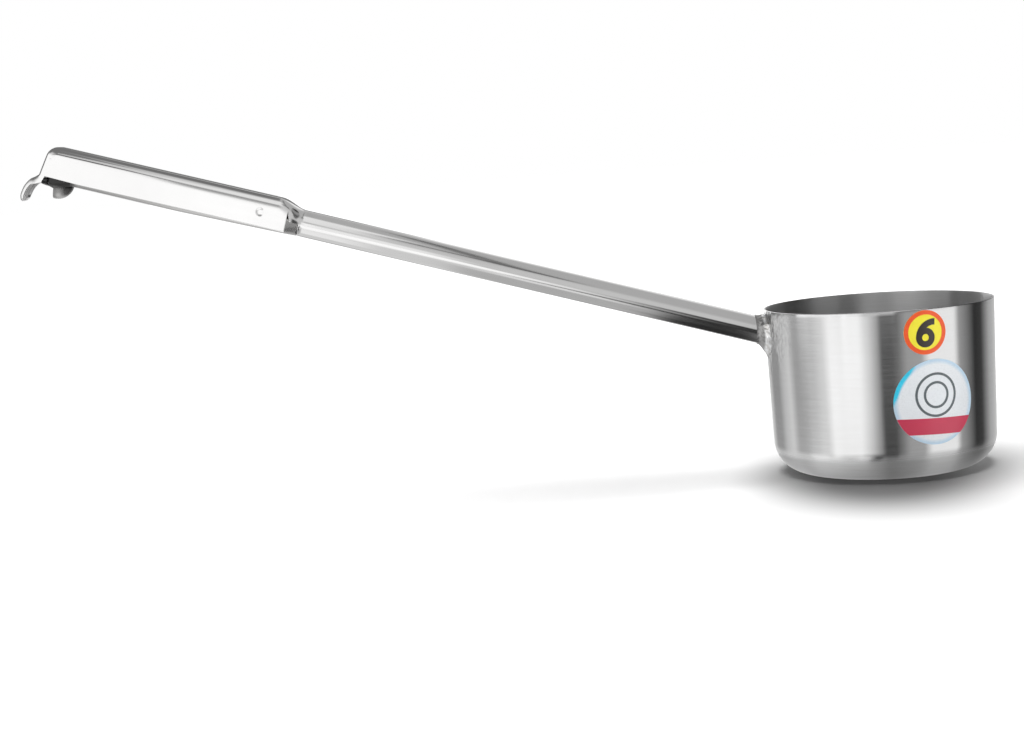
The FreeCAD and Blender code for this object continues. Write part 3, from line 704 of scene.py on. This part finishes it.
# %% Drawing on the wall
FILM, INK, SUNK = 0.15, 0.10, 0.02
SKIN_RINGS, SKIN_COLUMNS = 14, 144
SIZE_PLACE = (13.2, CUP_HEIGHT - 8.5)  # degrees round from the front, and height in mm
SIZE_RADIUS, SIZE_BORDER = 8.1, 1.6
DIGIT_OUTER, DIGIT_STROKE, DIGIT_DROP = 3.6, 2.3, 1.9
STEM_RADIUS, STEM_MIDDLE, STEM_HALF, STEM_LOWER = 6.9, 134, 46, 0.004
LABEL_PLACE, LABEL_TILT = (17.6, CUP_HEIGHT - 34.3), math.radians(2.5)
LABEL_RADIUS, BAND_LEVEL, BAND_HALF = 15.75, -9.0, 3.0
RING_STROKE, RING_RISE, RING_RADII = 0.9, 2.6, {"inner": 5.0, "outer": 8.2}


def pressed_on(a, b, azimuth, height, lift):
    """Points of the plane (a, b), tilted and pushed onto the wall at a lift above it."""
    turn = math.radians(azimuth)
    side = a * math.cos(LABEL_TILT) + b * math.sin(LABEL_TILT)
    z = height + b * math.cos(LABEL_TILT) - a * math.sin(LABEL_TILT)
    out = np.sqrt((wall_radius(z) + lift) ** 2 - side ** 2)
    return points_of(side * math.cos(turn) + out * math.sin(turn),
                     side * math.sin(turn) - out * math.cos(turn), z)


def skin(name, shape, place, node, low=FILM - SUNK, high=FILM + INK, hollow=False):
    """A thin closed piece: an ink where its levels aren't given.

    shape(q, t) gives (a, b), for q from the middle to the rim and t round it.
    """
    q = np.linspace(0, 1, SKIN_RINGS)
    a, b = shape(np.concatenate([q, q[::-1]])[:, None], whole_turn(SKIN_COLUMNS))
    points = pressed_on(a, b, *place, np.repeat([high, low], SKIN_RINGS)[:, None])
    faces = grid_faces(points, wrap_rows=hollow, wrap_columns=True)
    piece = new_piece(name, points, faces, node)
    finish_mesh(piece)
    return piece


def disc(radius):
    """Every point within a radius."""
    return lambda q, t: (radius * q * np.cos(t), radius * q * np.sin(t))


def ring(outer, stroke, up=0):
    """A ring round a point above the middle: q goes from its inner to its outer edge."""
    return lambda q, t: ((outer - stroke + stroke * q) * np.cos(t),
                         up + (outer - stroke + stroke * q) * np.sin(t))


def square(q, t):
    """A disc squeezed out to a square of half side 1: both coordinates over the larger one."""
    largest = np.maximum(np.abs(np.cos(t)), np.abs(np.sin(t)))
    return q * np.cos(t) / largest, q * np.sin(t) / largest


def stem(q, t):
    """The digit's stem: an arc that leaves the ring's left side and bends over its top."""
    along, across = square(q, t)
    angle = np.radians(STEM_MIDDLE - STEM_HALF * along)
    radius = STEM_RADIUS - DIGIT_STROKE / 2 + across * DIGIT_STROKE / 2
    centre = STEM_RADIUS - DIGIT_OUTER
    return centre + radius * np.cos(angle), -DIGIT_DROP + radius * np.sin(angle)


def foot_band(q, t):
    """The part of the label's disc between two level lines near its foot."""
    along, up = square(q, t)
    b = BAND_LEVEL + BAND_HALF * up
    return along * np.sqrt(LABEL_RADIUS ** 2 - b ** 2), b


size_film = skin("size_sticker_film", disc(SIZE_RADIUS), SIZE_PLACE, "size_sticker",
                 -SUNK, FILM)
size_ring = skin("size_sticker_border", ring(SIZE_RADIUS, SIZE_BORDER), SIZE_PLACE,
                 "size_sticker_ring", hollow=True)
digit_bowl = skin("size_digit_bowl", ring(DIGIT_OUTER, DIGIT_STROKE, -DIGIT_DROP), SIZE_PLACE,
                  "size_sticker_number", hollow=True)
digit_stem = skin("size_digit_stem", stem, SIZE_PLACE, "size_sticker_number",
                  high=FILM + INK - STEM_LOWER)
label_film = skin("label_film", disc(LABEL_RADIUS), LABEL_PLACE, "label_foil",
                  -SUNK, FILM)
label_band = skin("label_foot_band", foot_band, LABEL_PLACE, "label_band")
label_rings = [skin("label_ring_" + word, ring(radius, RING_STROKE, RING_RISE), LABEL_PLACE,
                    "label_rings", hollow=True)
               for word, radius in RING_RADII.items()]

# %% [markdown]
# ## Finishes
#
# A finish is a Principled shader fed by small node trees. Noise, stretched along the way the
# metal was polished, changes roughness, colour and height a little, because no real sheet is
# even. Plain numbers that are the same all over stay on the shader itself. A socket knows its
# own tree (id_data), so each helper puts its new node beside the socket that it is given.

# %% Node helpers
NOISE_SPAN = (0.3, 0.7)  # where nearly all of a cloud pattern's values lie


def fill(tree, made, values):
    """Gives a node's inputs their plain values or their links."""
    for key, value in values.items():
        if isinstance(value, bpy.types.NodeSocket):
            tree.links.new(value, made.inputs[key])
        else:
            made.inputs[key].default_value = value


def node(tree, kind, values=None, **settings):
    """Adds a node, sets its options, and fills its inputs."""
    made = tree.nodes.new(kind)
    for key, value in settings.items():
        setattr(made, key, value)
    fill(tree, made, values or {})
    return made


def worked_out(operation, first, second):
    """The result of a sum, product or other operation on two values, the first one a socket."""
    return node(first.id_data, "ShaderNodeMath", {0: first, 1: second},
                operation=operation).outputs[0]


def vector(operation, first, second=(0, 0, 0)):
    """The result of an operation on vectors: a vector, or a length or product as one value."""
    made = node(first.id_data, "ShaderNodeVectorMath", {0: first, 1: second}, operation=operation)
    one_value = operation in ("LENGTH", "DISTANCE", "DOT_PRODUCT")
    return made.outputs["Value" if one_value else "Vector"]


def new_finish(name, **values):
    """A material with a Principled shader, its plain values set, and the object's own space."""
    material = bpy.data.materials.new(name)
    material.use_nodes = True
    tree = material.node_tree
    shader = tree.nodes["Principled BSDF"]
    fill(tree, shader, {key.replace("_", " "): value for key, value in values.items()})
    return material, tree, shader, node(tree, "ShaderNodeTexCoord").outputs["Object"]


def wear(piece, material):
    """Puts one material on a piece."""
    piece.data.materials.clear()
    piece.data.materials.append(material)


def ramp(factor, low, high, start=0.0, stop=1.0, kind="LINEAR"):
    """Carries a factor from start..stop to low..high."""
    values = {"Value": factor, "From Min": start, "From Max": stop, "To Min": low, "To Max": high}
    return node(factor.id_data, "ShaderNodeMapRange", values,
                interpolation_type=kind).outputs["Result"]


def noise(place, scale, detail=4.0, roughness=0.55):
    """A soft cloud pattern between 0 and 1."""
    values = {"Vector": place, "Scale": scale, "Detail": detail, "Roughness": roughness}
    return node(place.id_data, "ShaderNodeTexNoise", values).outputs["Fac"]


def bumped(height, strength, distance, under=None):
    """The surface's direction made uneven by a pattern, over another such direction if given."""
    values = {"Height": height, "Strength": strength, "Distance": distance}
    if under:
        values["Normal"] = under
    return node(height.id_data, "ShaderNodeBump", values).outputs[0]


def mixed_colour(factor, first, second):
    """A blend of two colours by a factor."""
    return node(factor.id_data, "ShaderNodeMix", {0: factor, 6: first, 7: second},
                data_type="RGBA").outputs[2]


def grey(value, warm=0.0):
    """A grey with a slight warm or cool cast."""
    return (value * (1 + warm), value, value * (1 - warm), 1)


# %% [markdown]
# ### Brushed steel of the cup
#
# The cup was polished while it turned, so fine lines run round it, and light smears straight
# up and down across them. That smear is the shader's anisotropy, with its tangent set round
# the axis. The noise coordinate hardly changes round the cup and changes fast along its
# outline: height less radius does that on wall and base alike.

# %% Steel finishes
LINES_SQUEEZED, GROUND_BUMP, LINE_BUMP = 70.0, 0.0009, 0.0001
WELD_PLACE, WELD_NEAR = (-0.042, -0.006, 0.058), (0.010, 0.020)
INNER_FROM, INNER_TO = 0.0007, 0.0001  # metres inside the outer wall
HOOK_FACE, IN_HOOK, HOOK_DEPTH = (0.284, 0.287), (0.269, 0.272), (-0.0112, -0.0068)


def from_axis(place):
    """How far a place lies from the cup's upright axis."""
    return vector("LENGTH", vector("MULTIPLY", place, (1, 1, 0)))


def brushed_round(name, colour, rough, inner_rough):
    """Steel polished on a lathe: lines round the upright axis, and a ground patch by the weld.

    Inside the outer wall's line, on the inner face and the base, it is duller by inner_rough.
    """
    material, tree, shader, place = new_finish(name, Metallic=1.0, Anisotropic=1.0,
                                               Anisotropic_Rotation=0.25)
    x, y, z = node(tree, "ShaderNodeSeparateXYZ", {0: place}).outputs
    radius = from_axis(place)
    climb = worked_out("SUBTRACT", z, radius)
    fast = worked_out("MULTIPLY", climb, LINES_SQUEEZED)
    lines_at = node(tree, "ShaderNodeCombineXYZ", {0: x, 1: y, 2: fast}).outputs[0]
    lines = noise(lines_at, 60.0, 6.0, 0.7)
    clouds = noise(place, 45.0, 3.0)
    mark = worked_out("ADD", ramp(lines, -0.02, 0.02, *NOISE_SPAN),
                      ramp(clouds, rough - 0.02, rough + 0.02))
    slope = worked_out("MULTIPLY", z, WALL_DRAFT / CUP_HEIGHT)
    wall = wall_radius(0) * MM
    dull = ramp(worked_out("SUBTRACT", radius, slope), inner_rough, 0,
                wall - INNER_FROM, wall - INNER_TO)
    tint = mixed_colour(ramp(lines, 0, 1, *NOISE_SPAN), grey(colour * 0.95, 0.004),
                        grey(colour * 1.05, -0.004))
    beside_weld = ramp(vector("DISTANCE", place, WELD_PLACE), 1, 0, *WELD_NEAR)
    fill(tree, shader, {
        "Base Color": tint, "Roughness": worked_out("ADD", mark, dull),
        "Tangent": node(tree, "ShaderNodeTangent", direction_type="RADIAL", axis="Z").outputs[0],
        "Normal": bumped(noise(place, 170.0, 2.0), beside_weld, GROUND_BUMP,
                         bumped(lines, 0.015, LINE_BUMP))})
    return material


def handle_axis(place, direction):
    """How far, in metres, a place lies from the handle's foot along one of its axes."""
    offset = direction[0] * wall_radius(HANDLE_HEIGHT) - direction[2] * HANDLE_HEIGHT
    return worked_out("ADD", vector("DOT_PRODUCT", place, direction), offset * MM)


def polished_along(name, colour, rough, cast, bump_strength=0.08, hook_rough=0.0, shaded=False):
    """Steel polished along the handle: faint draw lines parallel to the tube.

    The pressed hook is duller than the rest by hook_rough. A shaded piece has painted shade in
    its colour: dark high up in the hook, where hardly any light gets in between the sheets, and
    lighter below.
    """
    material, tree, shader, place = new_finish(name, Metallic=1.0)
    along, above = (handle_axis(place, axis) for axis in (ALONG, ABOVE))
    turned_to_tube = node(tree, "ShaderNodeMapping", {
        "Vector": place, "Rotation": (0, HANDLE_RISE, 0), "Scale": (0.25, 0.01, 0.01)},
        vector_type="TEXTURE").outputs[0]
    lines = noise(turned_to_tube, 6.0, 5.0, 0.65)
    clouds = noise(place, 70.0, 4.0)
    mark = worked_out("ADD", ramp(lines, -0.03, 0.04, *NOISE_SPAN),
                      ramp(clouds, rough - 0.02, rough + 0.02))
    mark = worked_out("ADD", mark, ramp(along, 0, hook_rough, *HOOK_FACE))
    tint = mixed_colour(clouds, grey(colour * 0.96, cast), grey(colour * 1.04, cast))
    if shaded:
        # painted shade: dark high up in the hook, lighter towards its bottom
        hook_painted_shade = worked_out("MULTIPLY", ramp(along, 0, 1, *IN_HOOK),
                           ramp(above, 0.10, 0.97, *HOOK_DEPTH))
        tint = mixed_colour(hook_painted_shade, tint, grey(0.02))
    fill(tree, shader, {"Base Color": tint, "Roughness": mark,
                        "Normal": bumped(lines, bump_strength, LINE_BUMP)})
    return material


def weld_metal(name, colour, rough, crest=None):
    """Frozen weld metal: bright, lumpy, with darker heat tint in its hollows.

    With a crest, only the metal within that many mm of the cup's wall is lumpy, with a painted
    highlight there, and the rest of the bead is painted darker as shade.
    """
    material, tree, shader, place = new_finish(name, Metallic=1.0)
    lumps = noise(place, 420.0, 3.0)
    fine = noise(place, 1500.0, 2.0)
    tint = mixed_colour(ramp(lumps, 0, 1, 0.35, 0.6), grey(colour * 0.7, 0.03),
                        grey(colour, -0.01))
    strength = 0.5
    if crest:
        # painted highlight on the metal next to the cup's wall, painted shade beyond it
        wall = wall_radius(HANDLE_HEIGHT) * MM
        painted_highlight = ramp(from_axis(place), 1, 0, wall + 0.6 * crest * MM, wall + crest * MM)
        tint = mixed_colour(painted_highlight, grey(colour * 0.38, 0.01), tint)
        strength = ramp(painted_highlight, 0.08, 0.6)
    height = worked_out("ADD", lumps, ramp(fine, 0, 0.25))
    fill(tree, shader, {"Base Color": tint, "Normal": bumped(height, strength, 0.0004),
                        "Roughness": ramp(fine, rough - 0.08, rough + 0.08)})
    return material


wear(cup, brushed_round("brushed_steel", 0.65, 0.16, 0.24))
wear(handle, polished_along("polished_steel", 0.64, 0.11, 0.005, 0.05, hook_rough=0.2))
wear(liner, polished_along("underside_steel", 0.50, 0.24, 0.01, shaded=True))
wear(spots, weld_metal("spot_weld_metal", 0.5, 0.35))
wear(weld, weld_metal("bead_metal", 0.78, 0.25, crest=1.8))

# %% [markdown]
# ### Printed films
#
# The stickers are glossy film with flat inks. Print isn't perfectly even, so a fine mottle
# changes each colour slightly, and a clear coat gives the gloss. The silvery label's colour
# has a painted sheen, fading from white in its middle to bluish at its rim, and a painted
# cyan glint at the upper left.

# %% Film and ink finishes
# Colours of the label's painted sheen and painted glint
SHEEN_BLUE, PAINTED_GLINT_CYAN = (0.50, 0.66, 0.80, 1), (0.03, 0.58, 0.82, 1)
GLINT_SIDE, GLINT_REACH, MOTTLE = (-0.86, 0.5, 0), (0.0129, 0.0140), 0.05
RIM_REACH, GLINT_RIM = (0.0138, 0.0152), (0.0138, 0.0146)  # metres from the label's middle


def print_ink(name, colour, rough=0.35):
    """A printed colour with a fine mottle under a clear coat."""
    material, tree, shader, place = new_finish(name, Coat_Weight=0.4, Coat_Roughness=0.12)
    grain = noise(place, 2600.0, 2.0)
    darker, lighter = (tuple(min(1, part * share) for part in colour) + (1,)
                       for share in (1 - MOTTLE, 1 + MOTTLE))
    fill(tree, shader, {"Base Color": mixed_colour(grain, darker, lighter),
                        "Roughness": ramp(grain, rough - 0.05, rough + 0.05),
                        "Normal": bumped(grain, 0.05, LINE_BUMP / 2)})
    return material


def add_painted_sheen(material):
    """Over the label film's own colour, a painted bluish sheen at its rim and a painted cyan glint
    at its upper left.
    """
    tree = material.node_tree
    shader = tree.nodes["Principled BSDF"]
    plain = shader.inputs["Base Color"].links[0].from_socket
    place = node(tree, "ShaderNodeTexCoord").outputs["Object"]
    turn = math.radians(LABEL_PLACE[0])
    across = vector("DOT_PRODUCT", place, (math.cos(turn), math.sin(turn), 0))
    height = node(tree, "ShaderNodeSeparateXYZ", {0: place}).outputs[2]
    up = worked_out("SUBTRACT", height, LABEL_PLACE[1] * MM)
    flat = node(tree, "ShaderNodeCombineXYZ", {0: across, 1: up}).outputs[0]
    middle = vector("LENGTH", flat)
    upper_left = vector("DOT_PRODUCT", flat, GLINT_SIDE)
    glint = worked_out("MULTIPLY", ramp(upper_left, 0, 1, *GLINT_REACH),
                       ramp(middle, 0, 1, *GLINT_RIM))
    sheen = mixed_colour(ramp(middle, 0, 1, *RIM_REACH), plain, SHEEN_BLUE)
    fill(tree, shader, {"Base Color": mixed_colour(glint, sheen, PAINTED_GLINT_CYAN)})
    return material


wear(size_film, print_ink("yellow_film", (0.90, 0.80, 0.03)))
wear(size_ring, print_ink("orange_red_ink", (0.84, 0.09, 0.01)))
for digit in (digit_bowl, digit_stem):
    wear(digit, print_ink("dark_brown_ink", (0.022, 0.014, 0.01)))
wear(label_film, add_painted_sheen(print_ink("silver_film", (0.78, 0.81, 0.84), 0.28)))
wear(label_band, print_ink("crimson_ink", (0.56, 0.03, 0.08)))
for grey_ring in label_rings:
    wear(grey_ring, print_ink("grey_ink", (0.10, 0.12, 0.13)))

# %% [markdown]
# ## The studio
#
# Polished steel has hardly a colour of its own: it shows the room. So the ladle stands inside
# a tent that only reflections see, light where a photographer would hang a soft box and dark
# where a black card would stand. A plain world and two soft lamps light the rest. The floor
# is white paper, painted darker in an oval under the cup, where the picture's shadow is deeper
# than the lamps make it.

# %% The reflection tent
TENT_RADIUS, TENT_HEIGHT = 0.42, 0.035
# Round the sides, for the cup: degrees from the front towards +X, and brightness
SIDES = np.array([(-180, 0.80), (-160, 0.62), (-150, 0.36), (-134, 0.38), (-124, 0.70),
                  (-112, 0.90), (-102, 0.46), (-88, 0.46), (-76, 0.66), (-66, 0.95),
                  (-58, 1.50), (-28, 1.50), (-20, 1.12), (-12, 0.48), (-6, 0.05),
                  (1, 0.05), (8, 0.24), (16, 0.48), (30, 0.52), (38, 1.25), (66, 1.25), (72, 0.46),
                  (84, 0.24), (94, 0.04), (106, 0.06), (114, 0.26), (124, 0.50),
                  (145, 0.62), (180, 0.80)])
# Long panels beside the handle. An angle round its axis is 0 at the front and 90 overhead.
# Columns: from and to angle, from and to mm along it, softness of both, brightness
PANELS = [
    (132, 210, -70, 160, 44, 40, 1.40),
    (132, 210, 160, 262, 30, 40, 0.75),
    (-12, 36, -70, 900, 26, 40, 0.80),
    (-30, 9, 136, 900, 14, 44, 1.22),
    (-150, -34, 120, 900, 10, 50, 0.90),
    (-90, -46, 190, 900, 14, 30, 1.25),
    (-130, -50, 20, 135, 12, 24, 0.62),
    (-48, -31, 34, 118, 7, 24, 1.05),
    (-32, -8.5, -52, 104, 4, 18, 0.05),
    (-132, -8.5, -52, 10, 6, 14, 0.03),
    (-210, -138, -84, 24, 20, 30, 0.95),
    (42, 49, 70, 214, 4, 30, 0.28),
    (78, 132, 224, 900, 18, 14, 0.24),
    (20, 68, 224, 900, 12, 14, 0.88),
    (8.5, 22, 218, 900, 4, 10, 0.45),
    (8.5, 26, 282, 900, 4, 8, 0.10),
    (-12, 7.5, 218, 900, 4, 10, 1.55),
    (-60, -13, 232, 900, 6, 14, 0.70),
]
# A dark card that crosses above the handle: mm along it, angle and half width there
CARD = np.array([(60, 41, 3), (80, 43, 4), (100, 48, 9), (120, 58, 17), (140, 80, 13),
                 (160, 94, 8), (176, 104, 4)])
# Seen by the end wall and inside the cup: azimuths, elevations, softness, brightness
CORNERS = [
    (-94, -50, 3, 23, 4, 1.50),
    (-150, -94, 3, 34, 4, 0.22),
    (-116, -64, 27, 46, 5, 0.25),
    (-54, -30, 27, 62, 8, 1.15),
]
# What the base's round corner sees of the table: elevations, softness, brightness
TABLE = [(-90, -22, 18, 0.62), (-90, -50, 30, 0.50), (-90, -70, 30, 0.32)]


# Mm along the handle and softness: beyond the cup, where the sides' grey is the ceiling too
BEYOND_CUP, CARD_SPAN, CARD_SOFT = (-900, -70, 30), (66, 172, 16), 8
# Degrees and softness: the band that the sides fill, a taller one to the right, a dark patch
BAND_FOOT, BAND_TOP = (-18, 90, 12), (-90, -1, 4)
RIGHT_SIDE, RIGHT_BAND = (8, 172, 8), (-24, 12, 10)
PATCH_SIDE, PATCH_BAND = (-9, 4, 6), (-30, 2, 6)
CEILING, BEYOND_SHARE, CARD_SHADE, PATCH_SHADE = 0.60, 0.30, 0.19, 0.05
BACK_FROM, BACK_SHARE = 150, 0.7  # the table is darker behind the ladle


def between(value, low, high, soft):
    """A soft mask: 1 between two limits, and 0 beyond them."""
    return eased(0.5 + (value - low) / soft) * eased(0.5 + (high - value) / soft)


def laid(glow, value, mask):
    """The glow with a value laid over it where the mask is 1."""
    return glow + (value - glow) * mask


def tent_direction(azimuth, elevation):
    """The way from the tent's middle to a place on it."""
    azimuth, elevation = np.radians(azimuth), np.radians(elevation)
    level = np.cos(elevation)
    return points_of(level * np.sin(azimuth), -level * np.cos(azimuth), np.sin(elevation))


def tent_glow(azimuth, elevation):
    """The tent's brightness: a grey ceiling, panels beside the handle, and the cup's sides."""
    away = TENT_RADIUS / MM * tent_direction(azimuth, elevation) + (
        wall_radius(HANDLE_HEIGHT), 0, TENT_HEIGHT / MM - HANDLE_HEIGHT)
    along = away @ ALONG
    angle = np.degrees(np.arctan2(away @ ABOVE, -away[..., 1]))
    sides = np.interp(azimuth, *SIDES.T)
    glow = laid(CEILING, BEYOND_SHARE * sides, between(along, *BEYOND_CUP))
    for low, high, soft, value in TABLE:
        behind = np.where(np.abs(azimuth) > BACK_FROM, BACK_SHARE, 1)
        value = value * (0.5 + 0.45 * sides) * behind
        glow = laid(glow, value, between(elevation, low, high, soft))
    for low, high, start, stop, soft, fade, value in PANELS:
        for turned_by in (-360, 0, 360):
            mask = between(angle + turned_by, low, high, soft) * between(along, start, stop, fade)
            glow = laid(glow, value, mask)
    middle, half = (np.interp(along, CARD[:, 0], CARD[:, k]) for k in (1, 2))
    mask = between(angle, middle - half, middle + half, CARD_SOFT) * between(along, *CARD_SPAN)
    glow = laid(glow, CARD_SHADE, mask)
    for west, east, low, high, soft, value in CORNERS:
        mask = between(azimuth, west, east, soft) * between(elevation, low, high, soft)
        glow = laid(glow, value, mask)
    band = between(elevation, *BAND_FOOT) * between(elevation, *BAND_TOP)
    right = between(azimuth, *RIGHT_SIDE) * between(elevation, *RIGHT_BAND)
    glow = laid(glow, sides, np.maximum(band, right))
    return laid(glow, PATCH_SHADE, between(azimuth, *PATCH_SIDE) * between(elevation, *PATCH_BAND))


def bare_tree(owner):
    """The emptied node tree of a material or a world."""
    owner.use_nodes = True
    owner.node_tree.nodes.clear()
    return owner.node_tree


azimuth, elevation = np.linspace(-180, 180, 481), np.linspace(-90, 90, 241)[:, None]
tent_points = TENT_RADIUS * tent_direction(azimuth, elevation) + (0, 0, TENT_HEIGHT)
tent_mesh = bpy.data.meshes.new("reflection_tent")
tent_mesh.from_pydata(tent_points.reshape(-1, 3).tolist(), [], grid_faces(tent_points).tolist())
glow = tent_mesh.attributes.new("glow", "FLOAT", "POINT")
glow.data.foreach_set("value", tent_glow(azimuth, elevation).ravel())
tent = placed("reflection_tent", tent_mesh)
tent.visible_camera = tent.visible_diffuse = tent.visible_shadow = False
tent.visible_transmission = tent.visible_volume_scatter = False
tent_look = bpy.data.materials.new("tent_glow")
tent_tree = bare_tree(tent_look)
glow_value = node(tent_tree, "ShaderNodeAttribute", attribute_name="glow").outputs["Fac"]
shine = node(tent_tree, "ShaderNodeEmission", {"Strength": glow_value})
node(tent_tree, "ShaderNodeOutputMaterial", {"Surface": shine.outputs[0]})
wear(tent, tent_look)

# %% World, lamps and floor
FILL, FLOOR_WHITE, FLOOR_HALF, FLOOR_DROP = 0.20, 0.85, 8, 0.0002
SHADOW_MIDDLE, SHADOW_SIZE = (-0.007, -0.030, 0), (0.060, 0.092, 1)
SHADOW_LEFT, SHADOW_SPAN = 0.22, (0.25, 1.0)
# How much the camera's floor is lifted to white, and over which metres from the cup's axis
NEAR_LIFT, NEAR_SPAN, FAR_LIFT, FAR_SPAN = 0.62, (0.09, 0.42), 0.4, (0.4, 0.9)

world = bpy.data.worlds.new("studio_air")
bpy.context.scene.world = world
air = bare_tree(world)
sight = node(air, "ShaderNodeLightPath").outputs
seen = worked_out("MAXIMUM", sight["Is Camera Ray"], sight["Is Glossy Ray"])
seen = worked_out("MAXIMUM", seen, sight["Is Transmission Ray"])
sky = node(air, "ShaderNodeBackground", {"Color": (1, 1, 1, 1),
                                         "Strength": ramp(seen, FILL, 1.0)})
node(air, "ShaderNodeOutputWorld", {"Surface": sky.outputs[0]})


def soft_lamp(name, place, aim, size, watts):
    """A square area lamp that lights surfaces but isn't seen in reflections."""
    data = bpy.data.lights.new(name, "AREA")
    data.size = size
    data.energy = watts
    lamp = placed(name, data)
    lamp.location = place
    direction = np.array(place) - np.array(aim)
    lamp.rotation_euler = (math.atan2(math.hypot(*direction[:2]), direction[2]), 0,
                           math.atan2(direction[0], -direction[1]))
    lamp.visible_glossy = False


soft_lamp("overhead_lamp", (-0.08, 0.06, 0.95), (-0.05, 0, 0), 0.7, 10.8)
soft_lamp("front_lamp", (0.3, -1.2, 0.22), (0, 0, 0.04), 0.3, 5.8)

floor_mesh = bpy.data.meshes.new("floor")
floor_corners = [(-1, -1), (1, -1), (1, 1), (-1, 1)]
floor_mesh.from_pydata([(FLOOR_HALF * x, FLOOR_HALF * y, 0) for x, y in floor_corners], [],
                       [(0, 1, 2, 3)])
floor = placed("floor", floor_mesh)
floor.visible_glossy = False
floor.location.z = -FLOOR_DROP
floor_look = bpy.data.materials.new("white_floor")
floor_tree = bare_tree(floor_look)
place = node(floor_tree, "ShaderNodeTexCoord").outputs["Object"]
from_shadow = vector("SUBTRACT", place, SHADOW_MIDDLE)
from_shadow = vector("LENGTH", vector("DIVIDE", from_shadow, SHADOW_SIZE))
open_floor = ramp(from_shadow, SHADOW_LEFT, 1, *SHADOW_SPAN, kind="SMOOTHSTEP")
shaded = mixed_colour(open_floor, grey(0), grey(FLOOR_WHITE))
paper = node(floor_tree, "ShaderNodeBsdfDiffuse", {"Color": shaded})
reach = vector("LENGTH", place)
lift = worked_out("ADD", ramp(reach, 0, NEAR_LIFT, *NEAR_SPAN, kind="SMOOTHSTEP"),
                  ramp(reach, 0, FAR_LIFT, *FAR_SPAN))
camera_ray = node(floor_tree, "ShaderNodeLightPath").outputs["Is Camera Ray"]
lift = node(floor_tree, "ShaderNodeEmission", {
    "Strength": worked_out("MULTIPLY", lift, camera_ray)})
both = node(floor_tree, "ShaderNodeAddShader", {0: paper.outputs[0], 1: lift.outputs[0]})
node(floor_tree, "ShaderNodeOutputMaterial", {"Surface": both.outputs[0]})
wear(floor, floor_look)
